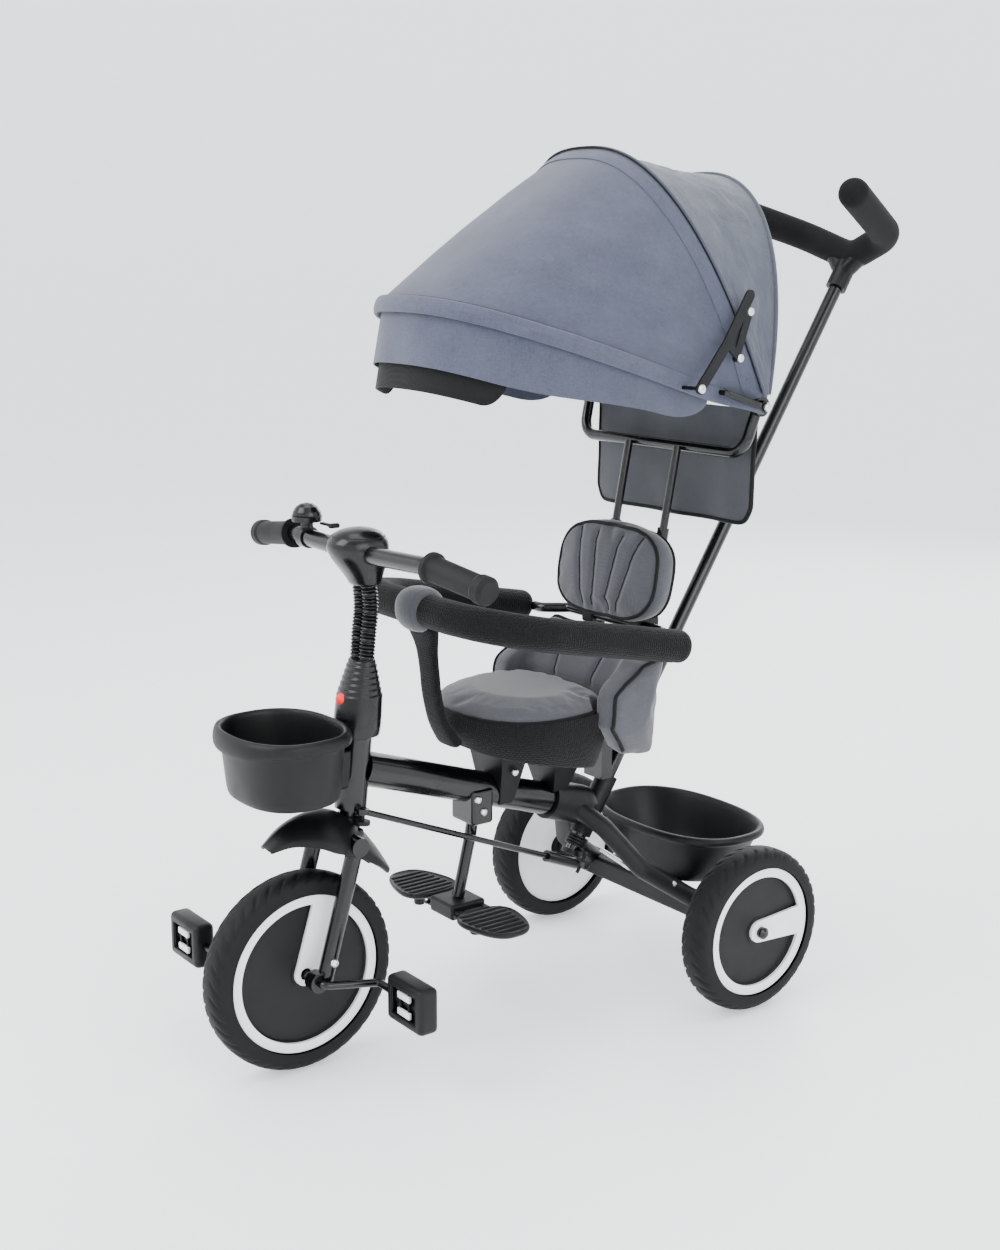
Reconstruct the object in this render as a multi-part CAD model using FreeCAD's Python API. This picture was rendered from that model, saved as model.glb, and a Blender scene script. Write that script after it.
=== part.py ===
import FreeCAD, Part
import math
import os

from FreeCAD import Vector

# Children's tricycle with push handle, canopy, safety guard and two baskets.
# Millimetres. +X forward, +Y left, +Z up. The origin is on the floor, under the middle
# of the whole tricycle. One STEP file is written for each sub-part.

# ---- driving dimensions ------------------------------------------------------------
FRONT_AXLE_X = 419.0
FRONT_R = 127.0
REAR_AXLE_X = -156.0
REAR_R = 112.0
REAR_WHEEL_Y = 208.5
TYRE_W = 45.0
RUN = 0.05            # radial clearance of a shaft in its bore

MAIN_R = 22.0
MAIN_FRONT = Vector(322, 0, 370)
MAIN_REAR = Vector(5, 0, 266)

STEER_BASE = Vector(340.6, 0, 316)
STEER_LEAN = math.radians(6.2)
STEER_DIR = Vector(-math.sin(STEER_LEAN), 0, math.cos(STEER_LEAN))
STEERER_R = 14.0
HEAD_TUBE_R = 20.0
ARM_Y = 28.0          # side offset of the steering arm and of the push crank

FORK_Y = 45.0
CRANK = 70.0
CRANK_DIP = math.radians(7)
PEDAL_Y = 149.0
PEDAL_L = 74.0

BAR_R = 11.0
BAR_HALF = 250.0
BAR_X = 326.0
BAR_Z = 641.0

PUSH_R = 10.0
PUSH_POINT = Vector(-66, 0, 268)
PUSH_DIR = Vector(-0.535, 0, 0.845)
GRIP_R = 20.0

POST_Y = 48.5
POST_X = -82.0        # post axis at POST_Z
POST_Z = 400.0
POST_LEAN = 0.194     # rearward travel per unit of height
ROD_R = 5.5
SLEEVE_R = 8.0

GUARD_Y = 165.0
GUARD_R = 21.0
GUARD_PIVOT = Vector(-60, 0, 506)

CANOPY = Vector(-176, 0, 804)
BOW_R = 4.0
CLOTH = 3.0
# bow: tilt above the horizontal, straight run, reach of the curve, half width, fullness
FRONT_BOW = (17.3, 137.0, 314.0, 158.0, 2.7)
MID_BOW = (64.0, 0.0, 349.0, 181.0, 2.6)
REAR_BOW = (99.0, 0.0, 293.0, 180.0, 2.4)
STAY_LOW = Vector(-49, 0, 833)
STAY_ELBOW = Vector(-114, 0, 868)
STAY_HIGH = Vector(-134, 0, 924)

SEAT_HALF = 114.0
SEAT_TILT = 12.6      # rise of the seat's underside towards the front, degrees
FOOT_PIVOT_Y = 33.0
FOOT_Z = 155.0

PARTS = {}


# ---- shape helpers -----------------------------------------------------------------
def rod(start, end, radius):
    """Solid cylinder between two points."""
    run = end.sub(start)
    return Part.makeCylinder(radius, run.Length, start, run)


def pipe(start, end, outer, inner):
    """Hollow cylinder between two points."""
    return rod(start, end, outer).cut(rod(start, end, inner))


def steer_point(z, side=0.0):
    """Point of the steering axis at a height, moved sideways by side."""
    rise = (z - STEER_BASE.z) / STEER_DIR.z
    return STEER_BASE.add(STEER_DIR * rise).add(Vector(0, side, 0))


def push_point(z):
    """Point of the push tube's axis at a height."""
    return PUSH_POINT.add(PUSH_DIR * ((z - PUSH_POINT.z) / PUSH_DIR.z))


def post_point(z, side):
    """Point of a backrest post's axis at a height."""
    return Vector(POST_X - POST_LEAN * (z - POST_Z), side * POST_Y, z)


def rounded_wire(points, radius):
    """Wire of straight runs joined by tangent arcs of one radius."""
    edges = []
    last = points[0]
    for before, corner, after in zip(points, points[1:], points[2:]):
        into = corner.sub(before).normalize()
        out = after.sub(corner).normalize()
        turn = into.getAngle(out)
        setback = radius * math.tan(turn / 2)
        start = corner.sub(into * setback)
        end = corner.add(out * setback)
        inward = out.sub(into).normalize()
        middle = corner.add(inward * (radius / math.cos(turn / 2) - radius))
        edges.append(Part.LineSegment(last, start).toShape())
        edges.append(Part.Arc(start, middle, end).toShape())
        last = end
    edges.append(Part.LineSegment(last, points[-1]).toShape())
    return Part.Wire(edges)


def bent_rod(points, radius, bend):
    """Round bar along straight runs and arcs."""
    path = rounded_wire(points, bend)
    ring = Part.makeCircle(radius, points[0], points[1].sub(points[0]))
    return path.makePipeShell([Part.Wire([ring])], True, False)


def block(low, high, edge=0.0):
    """Box between two corners, with all its edges rounded."""
    size = high.sub(low)
    box = Part.makeBox(size.x, size.y, size.z, low)
    return box.makeFillet(edge, box.Edges) if edge else box


def spun(profile, centre, axis=Vector(0, 1, 0)):
    """Revolve a closed outline of (radius, along-axis) points about an axis."""
    across = Vector(1, 0, 0) if abs(axis.x) < 0.9 else Vector(0, 0, 1)
    across = across.sub(axis * across.dot(axis)).normalize()
    points = [centre.add(across * r).add(axis * a) for r, a in profile]
    face = Part.Face(Part.makePolygon(points + points[:1]))
    return face.revolve(centre, axis, 360)


def oval(centre, half_x, half_y, power=2.4, count=28):
    """Closed smooth wire of a level rounded oval."""
    points = []
    for step in range(count):
        angle = 2 * math.pi * step / count
        c = math.cos(angle)
        s = math.sin(angle)
        x = half_x * math.copysign(abs(c) ** (2 / power), c)
        y = half_y * math.copysign(abs(s) ** (2 / power), s)
        points.append(centre.add(Vector(x, y, 0)))
    curve = Part.BSplineCurve()
    curve.interpolate(points, PeriodicFlag=True)
    return Part.Wire([curve.toShape()])


def mirrored(shape):
    """The same shape on the other side of the tricycle."""
    return shape.mirror(Vector(0, 0, 0), Vector(0, 1, 0))


def smooth(points):
    """Edge of a smooth curve through points."""
    curve = Part.BSplineCurve()
    curve.interpolate(points)
    return curve.toShape()


# ---- wheels ------------------------------------------------------------------------
def tyre(centre, radius, bead):
    half = TYRE_W / 2
    shoulder = radius - 12
    a = Vector(bead, -half + 5, 0)
    b = Vector(bead + 6, -half, 0)
    c = Vector(shoulder, -half, 0)
    crown = Vector(radius, 0, 0)
    edges = [Part.LineSegment(a, b).toShape(), Part.LineSegment(b, c).toShape()]
    edges.append(Part.Arc(c, crown, Vector(shoulder, half, 0)).toShape())
    edges.append(Part.LineSegment(Vector(shoulder, half, 0), Vector(bead + 6, half, 0)).toShape())
    edges.append(Part.LineSegment(Vector(bead + 6, half, 0), Vector(bead, half - 5, 0)).toShape())
    edges.append(Part.LineSegment(Vector(bead, half - 5, 0), a).toShape())
    face = Part.Face(Part.Wire(edges))
    ring = face.revolve(Vector(0, 0, 0), Vector(0, 1, 0), 360)
    ring.translate(centre)
    return ring


def wheel_disc(centre, bead, bore):
    outline = [(bore, -20), (17, -20), (19, -14), (bead - 16, -12), (bead - 14, -15), (bead, -15)]
    outline += [(r, -a) for r, a in reversed(outline)]
    return spun(outline, centre)


def wheel_trim(centre, ring_in, ring_out, side, spoke_angle, spoke_end, hub_hole):
    """White ring and its single tapered spoke, on one face of a wheel."""
    base = centre.add(Vector(0, side * 15, 0))
    out = Vector(0, side * 4, 0)
    ring = pipe(base, base.add(out), ring_out, ring_in)
    along = Vector(math.cos(spoke_angle), 0, math.sin(spoke_angle))
    across = Vector(-along.z, 0, along.x)
    reach = ring_in + 2
    corners = [(0, 15), (reach, spoke_end), (reach, -spoke_end), (0, -15)]
    points = [base.add(along * a).add(across * b) for a, b in corners]
    spoke = Part.Face(Part.makePolygon(points + points[:1])).extrude(out)
    hub = rod(base, base.add(out), 15)
    trim = ring.fuse([spoke, hub]).removeSplitter()
    core = rod(centre.sub(Vector(0, 40, 0)), centre.add(Vector(0, 40, 0)), hub_hole)
    return trim.cut(core)


def hollow_for(trim_centre, disc, side, radius):
    """Flatten the disc's face where a trim lies on it."""
    start = trim_centre.add(Vector(0, side * 15, 0))
    return disc.cut(rod(start, start.add(Vector(0, side * 10, 0)), radius))


def front_wheel():
    centre = Vector(FRONT_AXLE_X, 0, FRONT_R)
    PARTS["front_tyre"] = tyre(centre, FRONT_R, 103)
    disc = wheel_disc(centre, 103, 5)
    for side in (1, -1):
        disc = hollow_for(centre, disc, side, 30)
    PARTS["front_wheel_disc"] = disc
    up = math.radians(114)
    trims = [wheel_trim(centre, 89.5, 101.3, side, up, 26, 8) for side in (1, -1)]
    PARTS["front_wheel_trim"] = Part.Compound(trims)


def rear_wheel(name, side):
    centre = Vector(REAR_AXLE_X, side * REAR_WHEEL_Y, REAR_R)
    PARTS["rear_tyre_" + name] = tyre(centre, REAR_R, 89)
    disc = wheel_disc(centre, 89, 5 + RUN)
    disc = hollow_for(centre, disc, side, 30)
    PARTS["rear_wheel_disc_" + name] = disc
    trim = wheel_trim(centre, 75.5, 87.5, side, math.pi, 20, 8)
    inner = centre.sub(Vector(0, side * 15, 0))
    plate = pipe(inner, inner.sub(Vector(0, side * 1.5, 0)), 87, 74)
    inner = centre.sub(Vector(0, side * 12.1, 0))
    plate_face = pipe(inner.sub(Vector(0, side * 2.9, 0)), inner.sub(Vector(0, side * 4.4, 0)), 74, 22)
    PARTS["rear_wheel_trim_" + name] = Part.Compound([trim, plate.fuse(plate_face).removeSplitter()])


def crank_and_pedals():
    reach = Vector(-CRANK * math.cos(CRANK_DIP), 0, -CRANK * math.sin(CRANK_DIP))
    centre = Vector(FRONT_AXLE_X, 0, FRONT_R)
    tip = Vector(0, PEDAL_Y + PEDAL_L / 2 - 3.5, 0)
    shoulder = Vector(0, 76, 0)
    hub = Vector(0, 62, 0)
    left = [centre.add(reach).add(tip), centre.add(reach).add(shoulder), centre.add(hub)]
    right = [centre.sub(hub), centre.sub(reach).sub(shoulder), centre.sub(reach).sub(tip)]
    PARTS["crank_shaft"] = bent_rod(left + right, 5, 7)
    for name, side in (("left", 1), ("right", -1)):
        middle = centre.add(reach * side).add(Vector(0, side * PEDAL_Y, 0))
        half = Vector(14, PEDAL_L / 2, 29)
        body = block(middle.sub(half), middle.add(half), 5)
        slot = Vector(4, PEDAL_L / 2 - 12, 18)
        for offset in (-14, 14):
            recess = Vector(offset, 0, 0)
            body = body.cut(block(middle.sub(slot).add(recess), middle.add(slot).add(recess)))
        start = middle.sub(Vector(0, side * (PEDAL_L / 2 + 1), 0))
        bore = rod(start, middle.add(Vector(0, side * (PEDAL_L / 2 - 3), 0)), 5 + RUN)
        PARTS["pedal_" + name] = body.cut(bore)


# ---- frame -------------------------------------------------------------------------
def main_frame():
    head = rod(steer_point(322), steer_point(412), HEAD_TUBE_R)
    head_bore = rod(steer_point(300), steer_point(430), STEERER_R + RUN)
    tube = pipe(MAIN_REAR, MAIN_FRONT, MAIN_R, MAIN_R - 2.5)
    tube = tube.cut(rod(steer_point(300), steer_point(440), HEAD_TUBE_R - 1))
    PARTS["main_tube"] = tube.fuse(head).cut(head_bore)

    along = MAIN_FRONT.sub(MAIN_REAR).normalize()
    ferrule = rod(MAIN_REAR.sub(along * 34), MAIN_REAR.add(along * 26), MAIN_R + 5)
    ferrule = ferrule.fuse(Part.makeSphere(MAIN_R + 5, MAIN_REAR.sub(along * 34)))
    legs = []
    for side in (1, -1):
        leg = bent_rod([
            Vector(-6, side * 6, 264),
            Vector(-36, side * 44, 232),
            Vector(-72, side * 82, 176),
            Vector(REAR_AXLE_X, side * 112, 117),
        ], 13, 40)
        legs.append(leg)
    yoke = ferrule.fuse(legs)
    yoke = yoke.cut(rod(MAIN_REAR, MAIN_FRONT, MAIN_R))
    yoke = yoke.cut(rod(push_point(150), push_point(330), 15))
    socket = pipe(push_point(212), push_point(288), 15, PUSH_R + RUN)

    beam = block(Vector(REAR_AXLE_X - 17, -180, 97), Vector(REAR_AXLE_X + 17, 180, 127), 5)
    axle_low = Vector(REAR_AXLE_X, -236, REAR_R)
    axle_high = Vector(REAR_AXLE_X, 236, REAR_R)
    beam = beam.cut(rod(axle_low, axle_high, 5))
    yoke = yoke.cut(rod(axle_low, axle_high, 5))
    PARTS["rear_yoke"] = yoke.fuse([beam, socket]).removeSplitter()
    cap = spun([(0, 236), (0, 240), (4, 239.5), (8, 236), (8, 229), (5, 229), (5, 236)],
               Vector(REAR_AXLE_X, 0, REAR_R))
    PARTS["rear_axle"] = Part.Compound([rod(axle_low, axle_high, 5), cap, mirrored(cap)])


def seat_mounting():
    tube = rod(MAIN_REAR, MAIN_FRONT, MAIN_R)
    brackets = []
    for x, width in ((112, 20), (22, 22)):
        rear = 348 + (x - width - 72) * math.tan(math.radians(SEAT_TILT))
        front = 348 + (x + width - 72) * math.tan(math.radians(SEAT_TILT))
        top = Part.makePolygon([
            Vector(x - width, -38, rear), Vector(x + width, -38, front),
            Vector(x + width, 38, front), Vector(x - width, 38, rear), Vector(x - width, -38, rear)])
        foot = Part.makePolygon([
            Vector(x - 11, -20, 288), Vector(x + 11, -20, 288),
            Vector(x + 11, 20, 288), Vector(x - 11, 20, 288), Vector(x - 11, -20, 288)])
        brackets.append(Part.makeLoft([foot, top], True, True).cut(tube))
    brackets[1] = brackets[1].cut(PARTS["rear_yoke"])
    PARTS["seat_brackets"] = Part.Compound(brackets)

    base = block(Vector(-92, -62, 350), Vector(-64, 62, 372), 4)
    tongue = block(Vector(-70, -19, 290), Vector(-52, 19, 360))
    base = base.fuse(tongue).cut(PARTS["rear_yoke"])
    base = base.cut(rod(push_point(240), push_point(420), PUSH_R + 5.5))
    sleeves = []
    for side in (1, -1):
        axis = [post_point(345, side), post_point(636, side)]
        base = base.cut(rod(axis[0], axis[1], SLEEVE_R))
        sleeves.append(rod(post_point(352, side), axis[1], SLEEVE_R)
                       .cut(rod(post_point(484, side), post_point(640, side), ROD_R + 0.08)))
    PARTS["backrest_posts"] = base.fuse(sleeves).removeSplitter()


def seat():
    middle = Vector(72, 0, 348)
    pan_top = oval(Vector(74, 0, 392), 98, SEAT_HALF - 10, 2.5)
    pan_low = oval(middle, 80, SEAT_HALF - 32, 2.5)
    pan_low.rotate(middle, Vector(0, 1, 0), -SEAT_TILT)
    pan = Part.makeLoft([pan_low, pan_top], True, True)
    hollow_top = oval(Vector(74, 0, 392), 94, SEAT_HALF - 14, 2.5)
    hollow_low = oval(middle.add(Vector(0, 0, 5)), 76, SEAT_HALF - 36, 2.5)
    hollow_low.rotate(middle, Vector(0, 1, 0), -SEAT_TILT)
    PARTS["seat_pan"] = pan.cut(Part.makeLoft([hollow_low, hollow_top], True, True))

    low = oval(Vector(75, 0, 393), 99, SEAT_HALF - 8, 2.5)
    widest = oval(Vector(76, 0, 418), 106, SEAT_HALF - 2, 2.4)
    top = oval(Vector(76, 0, 436), 90, SEAT_HALF - 20, 2.3)
    cushion = Part.makeLoft([low, widest, top], True, False)

    back = [(-58, 352), (-28, 352), (-14, 440), (-46, 500), (-82, 500), (-66, 400)]
    wing = [(-50, 352), (4, 358), (30, 400), (24, 446), (-30, 484), (-70, 492), (-58, 400)]
    plate = outline_block(back, -SEAT_HALF - 2, SEAT_HALF + 2)
    left = outline_block(wing, SEAT_HALF - 24, SEAT_HALF + 12)
    cushion_back = plate.fuse([left, mirrored(left)])
    PARTS["back_cushion"] = cushion_back.cut(PARTS["seat_pan"]).cut(pan)
    PARTS["seat_cushion"] = cushion.cut(cushion_back)


def outline_block(outline, y_low, y_high):
    """Side outline of (x, z) points, extruded across the tricycle."""
    points = [Vector(x, y_low, z) for x, z in outline]
    face = Part.Face(Part.makePolygon(points + points[:1]))
    return face.extrude(Vector(0, y_high - y_low, 0))


def headrest():
    lean = math.degrees(math.atan(POST_LEAN))
    outline = oval(Vector(0, 0, 0), 67, 105, 3.0)
    front = oval(Vector(0, 0, 14), 61, 98, 3.0)
    back = oval(Vector(0, 0, -28), 61, 98, 3.0)
    pad = Part.makeLoft([back, outline, front], True, False)
    pad.rotate(Vector(0, 0, 0), Vector(0, 1, 0), 90)
    pad.rotate(Vector(0, 0, 0), Vector(0, 1, 0), -lean)
    pad.translate(Vector(-78, 0, 577))
    PARTS["headrest_pad"] = pad
    straps = []
    for side in (1, -1):
        for z in (556, 600):
            grip = pipe(post_point(z - 9, side), post_point(z + 9, side), SLEEVE_R + 2.5, SLEEVE_R)
            straps.append(grip.cut(pad))
    return straps


# ---- baskets -----------------------------------------------------------------------
def tub(centre, rim_z, floor_z, rim, floor, wall, floor_shift=0.0):
    """Open tub with a turned-down rim."""
    low = Vector(centre.x + floor_shift, 0, floor_z)
    high = Vector(centre.x, 0, rim_z)
    outer = Part.makeLoft([oval(low, floor[0], floor[1]), oval(high, rim[0], rim[1])], True, True)
    inner_low = low.add(Vector(0, 0, wall))
    inner = Part.makeLoft([oval(inner_low, floor[0] - wall, floor[1] - wall),
                           oval(high, rim[0] - wall, rim[1] - wall)], True, True)
    body = outer.cut(inner)
    lip_low = Part.Face(oval(high.sub(Vector(0, 0, 16)), rim[0] + 8, rim[1] + 8))
    lip = lip_low.extrude(Vector(0, 0, 16))
    under = Part.Face(oval(high.sub(Vector(0, 0, 16)), rim[0] + 5, rim[1] + 5))
    lip = lip.cut(under.extrude(Vector(0, 0, 13)))
    hole = Part.Face(oval(high.sub(Vector(0, 0, 4)), rim[0] - wall, rim[1] - wall))
    lip = lip.cut(hole.extrude(Vector(0, 0, 6)))
    return body.fuse(lip).removeSplitter()


def baskets():
    front_centre = Vector(434, 0, 0)
    front = tub(front_centre, 442, 354, (67, 83), (59, 75), 2.5)
    head = rod(steer_point(322), steer_point(412), HEAD_TUBE_R)
    bracket = block(Vector(345, -14, 352), Vector(386, 14, 400), 3).cut(head)
    outside = Part.makeLoft([oval(Vector(434, 0, 354), 59, 75), oval(Vector(434, 0, 442), 67, 83)],
                            True, True)
    PARTS["front_basket"] = front
    PARTS["front_basket_bracket"] = bracket.cut(outside)
    rear = tub(Vector(-217, 0, 0), 208, 129, (82, 129), (66, 92), 2.5, -4)
    PARTS["rear_basket"] = rear.cut(PARTS["rear_yoke"])


# ---- steering ----------------------------------------------------------------------
def fork():
    steerer = rod(steer_point(296), steer_point(508), STEERER_R)
    crown = rod(Vector(360, -FORK_Y - 11, 289), Vector(360, FORK_Y + 11, 289), 12)
    crown = crown.fuse(block(Vector(334, -24, 280), Vector(368, 24, 300), 4))
    legs = []
    for side in (1, -1):
        leg = rod(Vector(361, side * FORK_Y, 289), Vector(409, side * FORK_Y, 124), 10.5)
        end = Vector(FRONT_AXLE_X, side * FORK_Y, FRONT_R)
        boss = rod(end.sub(Vector(0, 8, 0)), end.add(Vector(0, 8, 0)), 13)
        legs.append(leg.fuse(boss))
    axle = rod(Vector(FRONT_AXLE_X, -80, FRONT_R), Vector(FRONT_AXLE_X, 80, FRONT_R), 5 + RUN)
    PARTS["fork"] = crown.fuse([steerer] + legs).cut(axle).removeSplitter()


def fender():
    """Saddle-shaped mudguard: crowned ribs lofted along a line over the wheel."""
    ridge = [Vector(464, 0, 297), Vector(420, 0, 321), Vector(374, 0, 325),
             Vector(328, 0, 293), Vector(290, 0, 240)]
    halves = [18, 44, 60, 52, 24]
    sags = [5, 24, 38, 28, 7]
    ribs = []
    for index, (top, half, sag) in enumerate(zip(ridge, halves, sags)):
        ahead = ridge[min(index + 1, 4)].sub(ridge[max(index - 1, 0)]).normalize()
        down = Vector(ahead.z, 0, -ahead.x).normalize()
        down = down if down.z < 0 else down.negative()
        outer = [top.add(Vector(0, -half, 0)).add(down * sag), top,
                 top.add(Vector(0, half, 0)).add(down * sag)]
        inner = [p.add(down * 3) for p in outer]
        rim = [Part.Arc(*outer).toShape(), Part.LineSegment(outer[2], inner[2]).toShape(),
               Part.Arc(*reversed(inner)).toShape(), Part.LineSegment(inner[0], outer[0]).toShape()]
        ribs.append(Part.Wire(rim))
    shell = Part.makeLoft(ribs, True, True)
    PARTS["front_fender"] = shell.cut(PARTS["fork"])


def stem():
    base = 416.0
    outline = [(STEERER_R, base), (26, base), (26, 432), (24, 434), (24, 450), (22.5, 452),
               (22.5, 466), (21, 468), (21, 480), (19.5, 482), (19.5, 494), (18, 496),
               (18, 508), (STEERER_R, 508)]
    origin = steer_point(0)
    cover = spun([(r, z / STEER_DIR.z) for r, z in outline], origin, STEER_DIR)
    button_at = steer_point(461).add(Vector(14, 0, 0))
    out = Vector(1, 0, 0.1).normalize()
    well = rod(button_at, button_at.add(out * 24), 6.2)
    PARTS["stem_cover"] = cover.cut(well)
    PARTS["release_button"] = rod(button_at.add(out * 4), button_at.add(out * 13.5), 5.9)
    PARTS["release_button"] = PARTS["release_button"].cut(rod(steer_point(400), steer_point(520), 16))

    bellows = []
    for side in (1, -1):
        start = steer_point(508, side * 9.5)
        end = Vector(BAR_X - 14, side * 9.5, 604)
        axis = end.sub(start).normalize()
        length = end.sub(start).Length
        ribs = 12
        pitch = length / ribs
        outline = [(0, 0)]
        for index in range(ribs):
            outline += [(7.2, index * pitch), (9.2, (index + 0.3) * pitch)]
            outline += [(9.2, (index + 0.7) * pitch), (7.2, (index + 0.98) * pitch)]
        outline += [(0, (ribs - 0.02) * pitch)]
        bellows.append(spun(outline, start, axis))
    PARTS["stem_bellows"] = Part.Compound(bellows)


def handlebar():
    points = [Vector(BAR_X - 11, -BAR_HALF, 632), Vector(BAR_X - 4, -150, 645),
              Vector(BAR_X, 0, BAR_Z), Vector(BAR_X - 4, 150, 645), Vector(BAR_X - 11, BAR_HALF, 632)]
    bar = bent_rod(points, BAR_R, 160)
    PARTS["handlebar_tube"] = bar
    cover = Part.makeSphere(1, Vector(0, 0, 0))
    shape = FreeCAD.Matrix()
    shape.scale(40, 36, 34)
    cover = cover.transformGeometry(shape)
    cover.translate(Vector(BAR_X - 2, 0, BAR_Z - 2))
    skirt = rod(Vector(BAR_X - 14, 0, 605), Vector(BAR_X - 8, 0, BAR_Z), 20)
    cover = cover.fuse(skirt).cut(bar)
    PARTS["handlebar_cover"] = cover
    grips = []
    for side in (1, -1):
        inner = Vector(BAR_X - 4, side * 150, 645)
        outer = Vector(BAR_X - 11, side * BAR_HALF, 632)
        along = outer.sub(inner).normalize()
        span = outer.sub(inner).Length
        outline = [(BAR_R, 3), (19, 3), (19, 8), (15.5, 10), (15, span - 14), (17, span - 10),
                   (17, span + 1), (13, span + 6), (0, span + 6), (0, span), (BAR_R, span)]
        grips.append(spun(outline, inner, along).cut(bar))
    PARTS["handlebar_grips"] = Part.Compound(grips)


def bell():
    seat_at = Vector(BAR_X - 4, -122, 644)
    clamp = pipe(seat_at.sub(Vector(0, 7, 0)), seat_at.add(Vector(0, 7, 0)), 14, BAR_R)
    stand = rod(seat_at.add(Vector(0, 0, 12)), seat_at.add(Vector(0, 0, 20)), 8)
    clamp = clamp.fuse(stand).cut(PARTS["handlebar_tube"])
    top = seat_at.add(Vector(0, 0, 20))
    up = Vector(0, 0, 1)
    base = spun([(0, 0), (19, 0), (19.5, 7), (3, 7), (3, 22), (0, 22)], top, up)
    base = base.fuse(clamp)
    dome = [(3, 20), (3, 23), (8, 22), (13.5, 18.5), (17.5, 12.5), (18.5, 8), (16.5, 8),
            (15.5, 12), (12, 16.5), (7, 19.4)]
    PARTS["bell_housing"] = Part.Compound([base, spun(dome, top, up)])
    pivot = top.add(Vector(-14, 12, 0))
    lever = block(pivot.add(Vector(-3, 0, -4)), pivot.add(Vector(3, 30, -1)), 0.8)
    thumb = block(pivot.add(Vector(-7, 26, -5)), pivot.add(Vector(7, 34, 1)), 2)
    PARTS["bell_lever"] = lever.fuse(thumb)


def steering_link():
    arm_z = 312.0
    centre = steer_point(arm_z)
    out = steer_point(arm_z, ARM_Y)
    arm = rod(centre.sub(STEER_DIR * 4), centre.add(STEER_DIR), 19)
    arm = arm.fuse(rod(out.sub(STEER_DIR * 4), out.add(STEER_DIR), 10.5))
    arm = arm.cut(rod(steer_point(280), steer_point(340), STEERER_R))
    pin = rod(out, out.add(STEER_DIR * 17), 3)
    PARTS["steering_arm"] = arm.fuse(pin)
    PARTS["front_fender"] = PARTS["front_fender"].cut(PARTS["steering_arm"])

    eye = out.add(STEER_DIR * 12.5)
    crank = push_point(188)
    end = crank.add(Vector(0, ARM_Y, 0)).sub(PUSH_DIR * 10)
    along = end.sub(eye).normalize()
    ring = rod(eye.sub(STEER_DIR * 3.5), eye.add(STEER_DIR * 3.5), 8)
    stem_rod = rod(eye.add(along * 5), end.sub(along * 8), 4)
    sleeve = rod(end.sub(along * 66), end.sub(along * 10), 8)
    rear_ring = rod(end.sub(PUSH_DIR * 3.5), end.add(PUSH_DIR * 3.5), 12)
    link = ring.fuse([stem_rod, sleeve, rear_ring])
    link = link.cut(rod(eye.sub(STEER_DIR * 9), eye.add(STEER_DIR * 9), 3 + RUN))
    link = link.cut(rod(end.sub(PUSH_DIR * 20), end.add(PUSH_DIR * 20), 8.5))
    PARTS["tie_rod"] = link
    plate = rod(crank.sub(PUSH_DIR * 3), crank.add(PUSH_DIR * 3), 14)
    tip = crank.add(Vector(0, ARM_Y, 0))
    lobe = rod(tip.add(PUSH_DIR * 3), tip.add(PUSH_DIR * 9), 7)
    web = block(Vector(crank.x - 6, 8, 190.5), Vector(crank.x + 2, ARM_Y, 195))
    pin = rod(tip.sub(PUSH_DIR * 23), tip.add(PUSH_DIR * 6), 2.5)
    crank_arm = plate.fuse([web, lobe, pin])
    PARTS["push_crank"] = crank_arm.cut(rod(push_point(150), push_point(230), PUSH_R))


# ---- push handle -------------------------------------------------------------------
def push_handle():
    PARTS["push_tube"] = rod(push_point(186), push_point(958), PUSH_R)
    ribs = []
    outline = [(PUSH_R + 0.1, 0)]
    for index in range(4):
        ribs += [(14.5, index * 4.2), (14.5, index * 4.2 + 2.4), (12.5, index * 4.2 + 2.6)]
    outline += ribs + [(PUSH_R + 0.1, 15)]
    outline[-2] = (12.5, 15)
    boot = spun(outline, push_point(196.5), PUSH_DIR)
    PARTS["push_crank"] = Part.Compound([PARTS["push_crank"], boot])

    hub_low = push_point(946)
    hub = rod(hub_low, push_point(984), 15)
    hub = hub.fuse(rod(push_point(968), Vector(-520, 30, 998), 13))
    hub = hub.fuse(rod(push_point(968), Vector(-520, -30, 998), 13))
    middle = Vector(-526, 0, 990)
    left = [middle, Vector(-512, 78, 1020), Vector(-352, 150, 1076)]
    right = [Vector(p.x, -p.y, p.z) for p in reversed(left[1:])]
    foam = bent_rod(right + left, GRIP_R, 50)
    ends = [Part.makeSphere(GRIP_R, left[-1]), Part.makeSphere(GRIP_R, right[0])]
    foam = foam.fuse(ends)
    PARTS["push_hub"] = hub.cut(foam).cut(PARTS["push_tube"])
    PARTS["push_grip"] = foam.cut(PARTS["push_tube"])


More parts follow.
